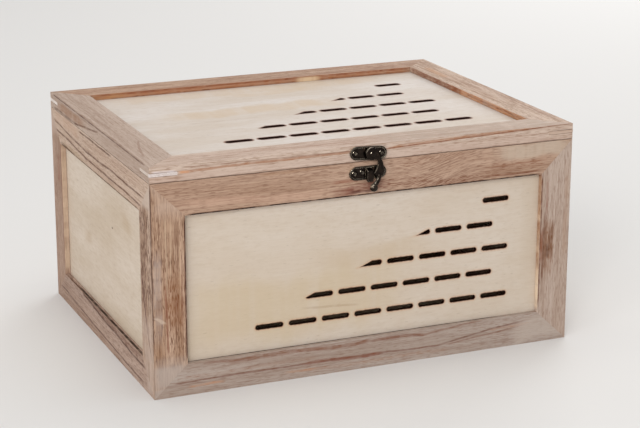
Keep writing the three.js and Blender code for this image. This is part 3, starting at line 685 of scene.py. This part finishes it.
front_left = paulownia(
    "front_left_stile", "Z", (0.2, 0.13, 0.22), 0.0022, 0.005,
    (194, 163, 140), (160, 125, 98), (96, 58, 36), rings=0.7, dashes=0.75, fibres=0.72)
front_left.marks("X", (
    (0.1, 0.145, -0.155, -0.155, 0.011, (188, 158, 134), 0.45, 0, 0.02),
    (0.044, 0.1, -0.153, -0.151, 0.0095, (136, 88, 54), 0.75, 0.45, 0.02),
    (0.056, 0.08, -0.15, -0.149, 0.005, (116, 68, 42), 0.7, 0.3),
    (0.036, 0.118, -0.1658, -0.1655, 0.0042, (178, 160, 150), 0.7, 0.3, 0.02),
    (0.061, 0.08, -0.1662, -0.1645, 0.0036, (112, 76, 54), 0.8, 0.5),
    (0.0566, 0.0632, -0.1608, -0.1694, 0.0026, (206, 184, 164), 0.75, 0.3, 0.0016, 0.0016),
    (0.032, 0.088, -0.1588, -0.1604, 0.0011, (124, 68, 46), 0.75, 0.3, 0.008, 0.0006),
    (0.11, 0.138, -0.1512, -0.1505, 0.0028, (122, 86, 64), 0.65, 0.3),
    (0.072, 0.14, -0.1584, -0.1592, 0.0008, (208, 182, 156), 0.5, 0.4),
    (0.088, 0.136, -0.1556, -0.155, 0.0008, (208, 182, 156), 0.5, 0.4),
    (0.058, 0.122, -0.1492, -0.1486, 0.0008, (202, 172, 142), 0.5, 0.4),
    (-0.03, 0.034, -0.157, -0.157, 0.019, (178, 162, 152), 0.85, 0, 0.012),
    (0.13, 0.18, -0.158, -0.158, 0.018, (190, 164, 146), 0.75, 0, 0.016),
    (0.026, 0.138, -0.1445, -0.1445, 0.0009, (76, 46, 36), 0.95, 0, 0.008, 0, 0.0002),
    (0.04, 0.163, -0.1697, -0.1697, 0.0007, (84, 58, 48), 0.85, 0, 0.008, 0, 0.0002),
))
member(front_left)

front_right = paulownia(
    "front_right_stile", "Z", (1.2, 0.15, -0.12), 0.003, 0.004,
    (190, 171, 158), (175, 153, 138), (124, 90, 72), rings=0.3, dashes=0.4, fibres=0.4)
front_right.marks("X", (
    (0.05, 0.104, 0.1515, 0.152, 0.0062, (132, 86, 52), 0.8, 0.5, 0.016),
    (0.064, 0.1, 0.1558, 0.1552, 0.0017, (112, 72, 44), 0.85, 0.3),
    (0.068, 0.096, 0.1532, 0.1528, 0.0014, (106, 66, 40), 0.85, 0.3),
    (0.056, 0.104, 0.1496, 0.1499, 0.0012, (116, 74, 46), 0.8, 0.3),
    (0.066, 0.082, 0.1512, 0.1505, 0.0018, (92, 52, 30), 0.85, 0.3, 0.005),
    (0.046, 0.108, 0.1475, 0.148, 0.0013, (106, 62, 36), 0.85, 0.2),
    (0.1, 0.134, 0.1495, 0.1498, 0.0012, (140, 96, 80), 0.65),
    (0.06, 0.15, 0.1665, 0.1665, 0.0022, (166, 134, 112), 0.5, 0.3, 0.02),
    (0.028, 0.138, 0.1448, 0.1448, 0.0010, (104, 62, 38), 0.9, 0.15, 0.008, 0, 0.0003),
    (0.06, 0.096, 0.1458, 0.1458, 0.0015, (128, 70, 36), 0.85, 0.2, 0.012),
))
# Painted light: the first wall row makes the stile's inner wall, which faces the lamps on the left, paler as
# if lit; the second lays a brown tone over its upper part.
front_right.marks("X", (
    (0.024, 0.138, 0.144, 0.144, 0.0003, (226, 204, 178), 0.95, 0, 0.008, 0, 0),
    (0.044, 0.17, 0.144, 0.144, 0.0003, (140, 88, 52), 0.85, 0.3, 0.03, 0, 0),
), wall=True)
member(front_right)

# The left side's rails and stiles, glued at their mitres as the front's are. Long growth lines run
# along the top rail, and a curved one down the front stile.
left_top = paulownia(
    "left_top_rail", "Y", (0.2, 0.19, -0.12), 0.006, 0.006,
    (203, 181, 163), (187, 161, 142), (126, 94, 76), rings=0.15, dashes=0.4, fibres=0.35)
left_top.marks("Z", (
    (-0.04, 0.05, 0.1598, 0.1598, 0.0011, (92, 56, 38), 0.92, 0.15),
    (-0.117, 0.03, 0.148, 0.1476, 0.0011, (92, 56, 38), 0.92, 0.15, 0.008, 0.0008),
    (0.016, 0.124, 0.1475, 0.1534, 0.0011, (92, 56, 38), 0.92, 0.15, 0.008, -0.0008),
    (-0.112, 0.036, 0.141, 0.1418, 0.0011, (92, 56, 38), 0.92, 0.15, 0.008, 0.0004),
    (0.022, 0.12, 0.1414, 0.1464, 0.0011, (92, 56, 38), 0.92, 0.15, 0.008, 0.0004),
    (0.04, 0.128, 0.1575, 0.1575, 0.006, (186, 152, 130), 0.6, 0.2, 0.02),
    (-0.105, 0.105, 0.1366, 0.1366, 0.0009, (98, 72, 48), 0.9, 0, 0.008, 0, 0.0003),
    (0.03, 0.108, 0.1385, 0.1395, 0.0024, (150, 124, 90), 0.55, 0.3, 0.02),
    (0.06, 0.105, 0.137, 0.138, 0.0012, (90, 54, 32), 0.9, 0.1),
))
member(left_top)

left_bottom = paulownia(
    "left_bottom_rail", "Y", (0.7, 0.2, 0.04), 0.004, 0.006,
    (182, 157, 142), (162, 134, 117), (100, 70, 54), rings=0.3, dashes=0.5, fibres=0.45)
left_bottom.marks("Z", (
    (-0.108, 0.03, 0.0214, 0.0236, 0.0034, (108, 68, 46), 0.85, 0.5, 0.02),
    (-0.112, 0.056, 0.0172, 0.0242, 0.0013, (78, 44, 28), 1.0, 0.15, 0.008, -0.0008),
    (-0.106, 0.118, 0.0046, 0.0114, 0.0012, (84, 50, 34), 0.9, 0.25, 0.008, -0.0012),
    (-0.14, -0.11, 0.014, 0.014, 0.014, (188, 170, 158), 0.75, 0, 0.01),
))
left_bottom.marks("X", (
    (-0.108, 0.078, -0.1683, -0.1683, 0.0015, (44, 20, 8), 1.0, 0, 0.02, 0, 0.0002),
    (0.05, 0.108, -0.169, -0.169, 0.0009, (84, 50, 32), 0.9, 0, 0.02, 0, 0.0002),
))
member(left_bottom)

left_front = paulownia(
    "left_front_stile", "Z", (0.5, 0.02, -0.23), 0.0026, 0.006,
    (206, 180, 160), (176, 145, 122), (98, 66, 48), rings=0.5, dashes=0.6, fibres=0.7)
left_front.dashes = left_front.ramp(left_front.noise((620, 620, 170), 3, 0.6), 0.44, 0.6)
left_front.marks("Y", (
    (0.048, 0.17, -0.117, -0.117, 0.018, (88, 50, 28), 0.88, 0.95, 0.03),
    (0.028, 0.092, -0.1275, -0.107, 0.0018, (88, 44, 32), 0.9, 0.1, 0.008, 0.0035),
    (-0.02, 0.066, -0.117, -0.117, 0.018, (184, 163, 150), 0.6, 0, 0.02),
    (0.139, 0.18, -0.118, -0.118, 0.03, (196, 176, 161), 0.92, 0, 0.006),
    (0.03, 0.163, -0.1297, -0.1297, 0.0007, (84, 58, 48), 0.8, 0, 0.008, 0, 0.0002),
))
member(left_front)

left_back = paulownia(
    "left_back_stile", "Z", (0.8, 0.25, 0.19), 0.003, 0.005,
    (181, 153, 135), (159, 129, 109), (108, 73, 54), rings=0.5, dashes=0.55)
left_back.marks("Y", (
    (0.098, 0.128, 0.113, 0.113, 0.003, (146, 92, 72), 0.6, 0.3),
    (0.139, 0.18, 0.118, 0.118, 0.03, (188, 164, 150), 0.85, 0, 0.006),
    (0.028, 0.138, 0.1046, 0.1046, 0.0007, (112, 66, 44), 0.9, 0, 0.008, 0, 0.0003),
))
# Painted light: the back stile's inner wall, which faces the lamps in front, is made paler as if lit.
left_back.marks("Y", (
    (0.024, 0.138, 0.104, 0.104, 0.0003, (204, 180, 156), 0.9, 0.3, 0.008, 0, 0),
), wall=True)
member(left_back)

# The right side and the back are framed the same way, mitred and glued, from other boards of the
# same wood.
for number, (node, along) in enumerate((
    ("right_top_rail", "Y"), ("right_bottom_rail", "Y"),
    ("right_front_stile", "Z"), ("right_back_stile", "Z"),
    ("back_top_rail", "X"), ("back_bottom_rail", "X"),
    ("back_right_stile", "Z"), ("back_left_stile", "Z"),
)):
    board_shift = (0.37 * number, 0.03 + 0.045 * (number % 3), 0.21 - 0.06 * (number % 2))
    member(paulownia(
        node, along, board_shift, 0.003 + 0.0007 * (number % 3), 0.005,
        (200, 174, 155), (174, 144, 123), (116, 80, 60)))


# The lid is a mitred frame of the same wood, a little paler, round a second slotted sheet. A thin key
# of the whitest wood is glued into a slot across each corner.
lid_front = paulownia(
    "lid_front_rail", "X", (0.1, 0.11, -0.32), 0.004, 0.004,
    (208, 188, 173), (190, 164, 148), (140, 104, 82), rings=0.4, dashes=0.45)
lid_front.marks("Z", (
    (-0.149, -0.012, 0.1682, 0.1696, 0.0013, (158, 108, 76), 0.85, 0.3, 0.008, 0.0008),
    (-0.149, -0.139, 0.1684, 0.1682, 0.0013, (206, 148, 108), 0.8, 0, 0.003),
    (-0.147, -0.012, 0.1717, 0.1704, 0.0008, (138, 102, 82), 0.75),
    (-0.169, -0.149, 0.1702, 0.1699, 0.0009, (214, 204, 206), 0.7, 0, 0.004),
    (0.008, 0.14, 0.1699, 0.174, 0.0016, (164, 112, 78), 0.85, 0.35, 0.012, 0, 0.0008),
    (0.008, 0.172, 0.1694, 0.1741, 0.0007, (128, 80, 54), 0.9, 0.25, 0.008, 0, 0.0008),
    (0.151, 0.171, 0.1692, 0.1697, 0.0006, (98, 84, 84), 0.9, 0, 0.004),
    (-0.15, 0.15, 0.1652, 0.1652, 0.0028, (200, 177, 163), 0.5, 0),
    (-0.18, 0.18, 0.1621, 0.1621, 0.0006, (84, 54, 42), 0.6, 0),
))
lid_front.marks("Y", (
    (0.0, 0.18, -0.117, -0.117, 0.03, (174, 153, 137), 0.7, 0, 0.03),
))
member(lid_front, "lid")

lid_right = paulownia(
    "lid_right_rail", "Y", (0.6, 0.1, -0.1), 0.004, 0.005,
    (202, 178, 159), (180, 150, 129), (130, 94, 70))
lid_right.marks("X", (
    (0.052, 0.098, 0.155, 0.155, 0.004, (190, 138, 98), 0.6, 0.3),
))
lid_right.marks("X", (
    (-0.106, 0.034, 0.1441, 0.1441, 0.0006, (186, 124, 78), 0.85, 0.35),
    (0.004, 0.104, 0.1441, 0.1441, 0.0006, (122, 66, 38), 0.9, 0.3),
), wall=True)
lid_right.marks("Z", (
    (-0.1, 0.0, 0.1722, 0.1722, 0.0012, (122, 70, 42), 0.7, 0.5),
))
member(lid_right, "lid")

lid_back = paulownia(
    "lid_back_rail", "X", (1.1, -0.11, -0.3), 0.004, 0.005,
    (194, 165, 143), (174, 139, 117), (124, 84, 60))
lid_back.marks("Y", (
    (-0.146, 0.146, 0.1041, 0.1041, 0.0006, (172, 112, 74), 0.85, 0.3),
    (-0.15, -0.1, 0.1041, 0.1041, 0.0006, (196, 152, 104), 0.5, 0.2, 0.03),
), wall=True)
lid_back.marks("Z", (
    (-0.142, 0.146, 0.1732, 0.1732, 0.0011, (124, 64, 38), 0.85, 0.45, 0.008, 0, 0.0004),
    (-0.13, 0.14, 0.1703, 0.1703, 0.0009, (112, 66, 44), 0.75, 0.6, 0.008, 0, 0.0006),
    (0.034, 0.062, 0.1712, 0.1712, 0.003, (222, 196, 162), 0.9, 0, 0.009, 0, 0.0004),
))
member(lid_back, "lid")

lid_left = paulownia(
    "lid_left_rail", "Y", (1.6, 0.14, -0.07), 0.004, 0.005,
    (191, 171, 157), (174, 152, 137), (134, 105, 87), rings=0.25, dashes=0.35, fibres=0.3)
lid_left.marks("Z", (
    (0.02, 0.12, 0.1685, 0.1672, 0.0047, (146, 106, 78), 0.8, 0.15, 0.03),
    (-0.008, 0.062, 0.1716, 0.1632, 0.001, (100, 66, 46), 0.85, 0.2, 0.008, -0.0006),
    (0.045, 0.122, 0.1638, 0.1632, 0.0014, (98, 66, 48), 0.8, 0.2),
    (-0.122, 0.124, 0.1735, 0.1735, 0.0009, (84, 52, 36), 0.85, 0.2, 0.008, 0, 0.0002),
))
lid_left.marks("X", (
    (-0.104, -0.05, -0.164, -0.152, 0.0013, (140, 108, 90), 0.75, 0.25, 0.008, -0.002),
    (-0.13, 0.13, -0.1705, -0.1705, 0.0022, (128, 96, 78), 0.7, 0.3),
))
member(lid_left, "lid")

for number, (corner, *tones) in enumerate((
    ("front_left", (222, 212, 209), (212, 200, 196), (188, 170, 160)),
    ("front_right", (206, 184, 168), (190, 164, 146), (140, 104, 84)),
    ("back_right", (226, 214, 204), (212, 196, 184), (170, 144, 124)),
    ("back_left", (232, 224, 218), (222, 211, 203), (192, 170, 156)),
)):
    key_wood = paulownia(
        f"{corner}_key", "X" if number % 2 else "Y", (0.3 * number, 0.05, 0.04), 0.004, 0.003,
        *tones, rings=0.25, dashes=0.3)
    if corner == "front_left":
        key_wood.marks("X", (
            (-0.129, -0.1, -0.17, -0.17, 0.0012, (202, 186, 173), 0.95, 0, 0.001),
        ), wall=True)
    member(key_wood, "lid", closing=0.0, node=f"lid_{corner}_key")

lid_slots = SlotPattern(left=-0.0896, right=0.115, bottom=-0.0664, top=0.065, height=0.0056)
lid_low, lid_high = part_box("lid_panel")
lid_sheet = slotted_sheet(
    "lid_sheet",
    lid_high.x - lid_low.x, lid_high.y - lid_low.y, lid_high.z - lid_low.z,
    (0, 0), lid_slots, Matrix.Translation((0, 0, lid_high.z)))
lid_veneer = plywood(
    "lid_plywood", "X", (1.6, 0.3, 0.9), (215, 207, 201), (204, 191, 178), (196, 179, 163))
veneer_tan = (202, 180, 154)
lid_veneer.marks("Y", (
    (-0.12, 0.06, 0.022, 0.028, 0.017, veneer_tan, 0.68, 0, 0.04),
    (-0.05, 0.06, 0.076, 0.076, 0.008, veneer_tan, 0.5, 0, 0.03),
    (-0.144, 0.12, 0.09, 0.092, 0.015, veneer_tan, 0.5, 0, 0.04),
    (-0.1, -0.034, -0.002, -0.001, 0.0008, (170, 146, 122), 0.5, 0.5),
))
charred(lid_veneer, "Y", lid_slots, reach=0.0024)
fit(lid_sheet, lid_veneer.material, "lid", "lid_panel")


# All the metalwork is dark bronze: the hinges, the latch and their screws have an almost black
# lacquered patina, rubbed bright along the edges, with a painted highlight on faces turned one way.
edge_rub, rub_in, rub_out = new_group("edge_rub", {"Float": ["Reach"]}, {"Float": ["Rubbed"]})
rounded = add(edge_rub, "Bevel", {"Radius": rub_in.outputs["Reach"]})
face_normal = add(edge_rub, "NewGeometry").outputs["Normal"]
agreement = add(edge_rub, "VectorMath", {0: rounded.outputs[0], 1: face_normal}, operation="DOT_PRODUCT")
edge_rub.links.new(map_range(edge_rub, agreement.outputs["Value"], 0.985, 0.9), rub_out.inputs["Rubbed"])
plate_level, proud_level = 0.1352, 0.1364


def dark_bronze(name, reach, highlight_from, least, proud=0.22):
    """Aged bronze; its edges are rubbed over a length in metres, and what stands proud of a plate by
    a share. A painted highlight lightens the faces turned towards the given direction; least, how closely a
    face turns there."""
    metal = Finish(name, (30, 24, 20), specular=0.3)
    metal.shader.inputs["Metallic"].default_value = 0.85
    blotches = metal.noise((420, 420, 420), 3, 0.6)
    metal.layer(metal.ramp(blotches, 0.35, 0.7), (46, 37, 31))
    edges = metal.add("Group", {"Reach": reach}, node_tree=edge_rub).outputs["Rubbed"]
    standing = metal.ramp(metal.sum("ABSOLUTE", metal.axes["Y"]), plate_level, proud_level, 0.0, proud)
    # Painted highlight: faces turned towards the given direction take the pale worn tone, as a glint would
    # show there.
    turn_to_highlight = metal.add("VectorMath", {0: metal.normal, 1: highlight_from}, operation="DOT_PRODUCT").outputs["Value"]
    painted_highlight = metal.ramp(turn_to_highlight, least, least + 0.7 * (1 - least))
    rubbed_and_highlit = metal.sum("MAXIMUM", metal.sum("MAXIMUM", edges, standing), painted_highlight)
    worn_and_highlit = metal.sum("MULTIPLY", rubbed_and_highlit, metal.ramp(blotches, 0.35, 0.6, 0.5, 1.0))
    metal.layer(worn_and_highlit, (206, 193, 173))
    metal.feed("Roughness", metal.ramp(blotches, 0.3, 0.7, 0.1, 0.2))
    metal.emboss(metal.noise((2200, 2200, 2200), 2, 0.6), 0.12, 0.00005)
    return metal.material


# Two butt hinges on the back. Each has a leaf on the lid with one knuckle, a leaf on the body with
# two, a pin through all three, and four round-headed screws.
def face_matrix(place, outwards):
    """Local X to the viewer's right, local Y up, local Z out of the front (-1) or the back (1)."""
    turn = Matrix.Rotation(math.pi / 2, 4, "X")
    if outwards > 0:
        turn = Matrix.Rotation(math.pi, 4, "Z") @ turn
    return Matrix.Translation(place) @ turn


def smooth_rounds(piece):
    """Shades the round parts smooth and leaves the edges crisp."""
    alone(piece)
    bpy.ops.object.shade_smooth_by_angle(angle=math.radians(40))


def close_up(piece):
    """Merges what meets, turns the faces outwards and leaves edit mode with round parts smooth."""
    bpy.ops.mesh.select_all(action="SELECT")
    bpy.ops.mesh.remove_doubles(threshold=merge_reach)
    bpy.ops.mesh.normals_make_consistent(inside=False)
    bpy.ops.object.mode_set(mode="OBJECT")
    smooth_rounds(piece)


def turned(name, profile, sides=32):
    """A solid turned about local Z; the profile is (radius, height) from its low end to its high end."""
    radius, height = profile[0]
    piece = begin(
        bpy.ops.mesh.primitive_circle_add, name,
        vertices=sides, radius=radius, fill_type="NGON", location=(0, 0, height))
    bpy.ops.mesh.select_all(action="SELECT")
    for next_radius, next_height in profile[1:]:
        bpy.ops.mesh.extrude_region_move(
            TRANSFORM_OT_translate={"value": (0, 0, next_height - height)})
        share = next_radius / radius
        bpy.ops.transform.resize(value=(share, share, 1), center_override=(0, 0, next_height))
        radius, height = next_radius, next_height
    close_up(piece)
    return piece


def between(low, high):
    """The middle and the size of a block between two corners."""
    return [(a + b) / 2 for a, b in zip(low, high)], [b - a for a, b in zip(low, high)]


def drill(piece, x, y, radius):
    """Drills a round hole right through along local Z."""
    bpy.ops.object.select_all(action="DESELECT")
    bpy.ops.mesh.primitive_cylinder_add(vertices=24, radius=radius, depth=0.01, location=(x, y, 0))
    cut(piece, bpy.context.object)


def along_x(piece, lift):
    """Lays a turned piece from local Z to local X, at a height over the wood."""
    place_by(piece, Matrix.Translation((0, 0, lift)) @ Matrix.Rotation(math.pi / 2, 4, "Y"))


# The hinges and their screws carry a painted highlight on the faces turned up and to the back.
hinge_bronze = dark_bronze("hinge_bronze", reach=0.0005, highlight_from=(0.684, 0.076, 0.725), least=0.7)
hinge_screw_bronze = dark_bronze(
    "hinge_screw_bronze", reach=0.00036, highlight_from=(0.5, 0.75, 0.43), least=0.955)
box_back, box_front = 0.13, -0.13
hinge_level, hinge_apart = 0.16185, 0.115
barrel_radius, barrel_out, barrel_easing = 0.0017, 0.0018, 0.00015
leaf_side, leaf_start, leaf_end, leaf_thickness = 0.013, 0.00195, 0.01095, 0.0009
leaf_corner, leaf_easing, strap_overlap = 0.0015, 0.0002, 0.0015
leaf_screw_along, leaf_screw_up = 0.0075, 0.00645
knuckle_end, knuckle_middle, knuckle_gap = 0.013, 0.004333, 0.00015
pin_hole_radius, pin_hole_reach = 0.00085, 0.02
pilot_radius = 0.00125
touching = 1e-5


def hinge_leaf(name, up, knuckles):
    """A leaf pressed from sheet metal, its knuckles rolled round the pin; up is 1 for the lid's."""
    low, high = sorted((up * leaf_start, up * leaf_end))
    leaf = block(name, *between((-leaf_side, low, 0), (leaf_side, high, leaf_thickness)))
    choose(leaf, "EDGE", lambda edge: abs(direction(edge).z) > 0.9)
    bpy.ops.mesh.bevel(offset=leaf_corner, segments=5, affect="EDGES")
    choose(leaf, "EDGE", lambda edge: sharp(edge) and all(
        vertex.co.z > leaf_thickness - touching for vertex in edge.verts))
    bpy.ops.mesh.bevel(offset=leaf_easing, segments=2, affect="EDGES")
    bpy.ops.object.mode_set(mode="OBJECT")
    for along in (-leaf_screw_along, leaf_screw_along):
        drill(leaf, along, up * leaf_screw_up, pilot_radius)
    for first, last in knuckles:
        strap_low, strap_high = sorted((0, up * (leaf_start + strap_overlap)))
        strap = block("strap", *between((first, strap_low, 0), (last, strap_high, leaf_thickness)))
        bpy.ops.object.mode_set(mode="OBJECT")
        cut(leaf, strap, "UNION")
        roll = turned("roll", (
            (barrel_radius - barrel_easing, first), (barrel_radius, first + barrel_easing),
            (barrel_radius, last - barrel_easing), (barrel_radius - barrel_easing, last)), sides=40)
        along_x(roll, barrel_out)
        cut(leaf, roll, "UNION")
    return leaf


def clear_for_pin(leaf):
    """Bores the knuckles for the pin."""
    hole = turned("hole", ((pin_hole_radius, -pin_hole_reach), (pin_hole_radius, pin_hole_reach)), sides=24)
    along_x(hole, barrel_out)
    cut(leaf, hole)
    smooth_rounds(leaf)


# The lug on the lid's knuckle meets the body's leaf when the lid is wide open.
lid_leaf = hinge_leaf("lid_leaf", 1, ((knuckle_gap - knuckle_middle, knuckle_middle - knuckle_gap),))
lug_side, lug_half, lug_root, lug_tip = 0.00403, 0.00065, 0.00085, 0.003
lug_lean = math.radians(-15)
lug = block("lug", *between((-lug_side, -lug_half, lug_root), (lug_side, lug_half, lug_tip)))
bpy.ops.object.mode_set(mode="OBJECT")
place_by(lug, Matrix.Translation((0, 0, barrel_out)) @ Matrix.Rotation(lug_lean, 4, "X"))
cut(lid_leaf, lug, "UNION")
clear_for_pin(lid_leaf)
body_leaf = hinge_leaf("body_leaf", -1, (
    (-knuckle_end, -knuckle_middle - knuckle_gap), (knuckle_middle + knuckle_gap, knuckle_end)))
clear_for_pin(body_leaf)
pin_radius, pin_head_radius, pin_crown_radius = 0.00075, 0.00115, 0.0008
pin_shoulder, pin_tip = 0.01335, 0.0135
pin_head = (
    (pin_radius, knuckle_end), (pin_head_radius, knuckle_end),
    (pin_head_radius, pin_shoulder), (pin_crown_radius, pin_tip))
other_head = [(radius, -height) for radius, height in reversed(pin_head)]
hinge_pin = turned("pin", (*other_head, *pin_head), sides=24)
along_x(hinge_pin, barrel_out)

# Round-headed wood screws with a crossed slot: the same small screw holds the hinges and the latch.
# The slot's arms narrow towards its floor.
screw = turned("screw", (
    (0.0001, -0.0085), (0.0011, -0.0061), (0.0011, 0), (0.0024, 0), (0.0024, 0.0002),
    (0.00225, 0.0005), (0.0019, 0.00072), (0.0013, 0.00086), (0.0005, 0.00092)))
arm_reach, arm_half, arm_floor, arm_top = 0.00145, 0.00032, 0.0003, 0.0014
arm_taper = (0.4, 0.7, 1)
for slot_turn in (0, math.pi / 2):
    arm = block("arm", *between((-arm_reach, -arm_half, arm_floor), (arm_reach, arm_half, arm_top)))
    choose(arm, "VERT", lambda vertex: vertex.co.z < arm_floor + touching)
    bpy.ops.transform.resize(value=arm_taper, center_override=(0, 0, 0))
    bpy.ops.object.mode_set(mode="OBJECT")
    place_by(arm, Matrix.Rotation(slot_turn, 4, "Z"))
    cut(screw, arm)
smooth_rounds(screw)


def mount(piece, matrix, material, body, node):
    """Puts a piece of metalwork in place, finished and riding on its body."""
    place_by(piece, matrix)
    fit(piece, material, body, node)


def mount_copy(model, name, matrix, material, body, node):
    """Mounts a copy of a model with its own mesh."""
    piece = bpy.data.objects.new(name, model.data.copy())
    bpy.context.scene.collection.objects.link(piece)
    mount(piece, matrix, material, body, node)


for hinge, hinge_x in (("left_hinge", -hinge_apart), ("right_hinge", hinge_apart)):
    stand = face_matrix((hinge_x, box_back, hinge_level), 1)
    mount_copy(lid_leaf, f"{hinge}_upper_leaf", stand, hinge_bronze, "lid", f"{hinge}_lid_leaf")
    mount_copy(body_leaf, f"{hinge}_lower_leaf", stand, hinge_bronze, "box", f"{hinge}_body_leaf")
    mount_copy(hinge_pin, f"{hinge}_turned_pin", stand, hinge_bronze, "box", f"{hinge}_pin")
    for part, body, up in (("lid", "lid", 1), ("body", "box", -1)):
        for end, along in (("left", -leaf_screw_along), ("right", leaf_screw_along)):
            spot = face_matrix((hinge_x + along, box_back, hinge_level + up * leaf_screw_up), 1)
            chance_turn = 0.7 * along * 100 + up + hinge_x * 9
            mount_copy(
                screw, f"{hinge}_{part}_{end}_wood_screw",
                spot @ Matrix.Translation((0, 0, leaf_thickness)) @ Matrix.Rotation(chance_turn, 4, "Z"),
                hinge_screw_bronze, body, f"{hinge}_{part}_{end}_screw")
for model in (lid_leaf, body_leaf, hinge_pin):
    bpy.data.objects.remove(model)

# The latch plates are cast with a raised rim. The upper one, on the edge of the lid, carries the
# hook; the lower one, on the front top rail, has the horn that the hook closes under.
# The latch plates, their screws and the rivet carry a painted highlight on the faces turned up and to the
# left.
upper_left_highlight = (-0.684, -0.076, 0.725)
latch_bronze = dark_bronze("latch_bronze", reach=0.0006, highlight_from=upper_left_highlight, least=0.75)
screw_bronze = dark_bronze(
    "screw_bronze", reach=0.00036, highlight_from=(-0.5, -0.75, 0.43), least=0.955, proud=0.1)
plate_half, plate_radius, plate_floor, plate_rim, rim_width = 0.0147, 0.0051, 0.001, 0.0016, 0.001
floor_fillet, floor_dish, rim_rounding = 0.00025, 0.00008, 0.00046


def latch_plate(name, holes):
    """A plate with round ends: local X along it, local Y up, and its back on the wood at height 0."""
    plate = round_bar(name, plate_radius, plate_rim, plate_rim / 2, plate_half - plate_radius, sides=64)
    choose(plate, "FACE", lambda face: face.normal.z > 0.9)
    bpy.ops.mesh.inset(thickness=rim_width)
    bpy.ops.mesh.extrude_region_move(
        TRANSFORM_OT_translate={"value": (0, 0, plate_floor - plate_rim)})
    bpy.ops.mesh.inset(thickness=floor_fillet)
    bpy.ops.transform.translate(value=(0, 0, -floor_dish))
    choose(plate, "EDGE", lambda edge: sharp(edge, math.radians(60)) and all(
        vertex.co.z > plate_rim - touching for vertex in edge.verts))
    bpy.ops.mesh.bevel(offset=rim_rounding, segments=5, affect="EDGES")
    close_up(plate)
    for x, y, radius in holes:
        drill(plate, x, y, radius)
    return plate


plate_screw_along = 0.0106
hook_plate_place, hook_plate_tilt = (-0.0022, box_front, 0.168), math.radians(-3.5)
pivot_along, pivot_hole_radius = 0.0019, 0.0014
hook_plate = latch_plate("hook_plate_casting", (
    (-plate_screw_along, 0, pilot_radius), (pivot_along, 0, pivot_hole_radius),
    (plate_screw_along, 0, pilot_radius)))
smooth_rounds(hook_plate)
hook_plate_stand = face_matrix(hook_plate_place, -1) @ Matrix.Rotation(hook_plate_tilt, 4, "Z")
mount(hook_plate, hook_plate_stand, latch_bronze, "lid", "hook_plate")

# The horn leans: its upper front edge slopes down, and its lower back edge up.
catch_plate_place = (-0.0026, box_front, 0.1533)
catch_plate_stand = face_matrix(catch_plate_place, -1)
catch_screws = ((-plate_screw_along, 0), (-0.0044, 0.0005))
catch_plate = latch_plate("catch_plate_casting", [(x, y, pilot_radius) for x, y in catch_screws])
horn_low, horn_high = (-0.0017, -0.0066, 0.0005), (0.0031, 0.0039, 0.0045)
horn_front, horn_back = 0.004, 0.001
horn_slope, horn_rise, horn_rounding = 0.0018, 0.0015, 0.00055
horn = block("horn", *between(horn_low, horn_high))
choose(horn, "EDGE", lambda edge: all(v.co.y > 0 and v.co.z > horn_front for v in edge.verts))
bpy.ops.transform.translate(value=(0, -horn_slope, 0))
choose(horn, "EDGE", lambda edge: all(v.co.y < 0 and v.co.z < horn_back for v in edge.verts))
bpy.ops.transform.translate(value=(0, horn_rise, 0))
choose(horn, "EDGE", lambda edge: sharp(edge) and max(v.co.z for v in edge.verts) > horn_front)
bpy.ops.mesh.bevel(offset=horn_rounding, segments=4, affect="EDGES")
close_up(horn)
cut(catch_plate, horn, "UNION")
smooth_rounds(catch_plate)
mount(catch_plate, catch_plate_stand, latch_bronze, "box", "catch_plate")

for node, stand, spot, body in (
    ("hook_plate_left_screw", hook_plate_stand, (-plate_screw_along, 0), "lid"),
    ("hook_plate_right_screw", hook_plate_stand, (plate_screw_along, 0), "lid"),
    ("catch_plate_left_screw", catch_plate_stand, catch_screws[0], "box"),
    ("catch_plate_right_screw", catch_plate_stand, catch_screws[1], "box"),
):
    chance_turn = 40 * spot[0] * 7
    driven = Matrix.Translation((*spot, plate_floor - floor_dish)) @ Matrix.Rotation(chance_turn, 4, "Z")
    mount_copy(screw, f"{node}_driven", stand @ driven, screw_bronze, body, node)
bpy.data.objects.remove(screw)

# The hook is cast in one piece: a disc on a rivet, an arm that passes beside the horn, and a round
# tail that curls out under it. The rivet goes through the plate and is peened over the disc.
rivet = turned("hook_rivet_peened", (
    (0.0013, 0.0001), (0.0013, 0.001), (0.0024, 0.001), (0.0024, 0.0018), (0.0013, 0.0018),
    (0.0013, 0.0042), (0.0023, 0.0042), (0.00225, 0.0046), (0.00195, 0.00495), (0.0014, 0.0052),
    (0.0007, 0.00536), (0.0001, 0.0054)))
pivot = hook_plate_stand @ Vector((pivot_along, 0, 0))
mount(rivet, face_matrix(pivot, -1), screw_bronze, "lid", "hook_rivet")

hook = cad_copy("hook", "hook_casting")
bpy.ops.object.mode_set(mode="OBJECT")
cast = hook.modifiers.new("cast", "REMESH")
cast.mode = "VOXEL"
cast.voxel_size = 0.00022
soften = hook.modifiers.new("soften", "SMOOTH")
soften.factor = 0.6
soften.iterations = 8
for modifier in (cast.name, soften.name):
    bpy.ops.object.modifier_apply(modifier=modifier)
bpy.ops.object.shade_smooth()
# The hook carries a painted highlight on its faces turned up and to the left.
hook_bronze = dark_bronze("hook_bronze", reach=0.00036, highlight_from=upper_left_highlight, least=0.68, proud=0.03)
fit(hook, hook_bronze, "hook", "hook")
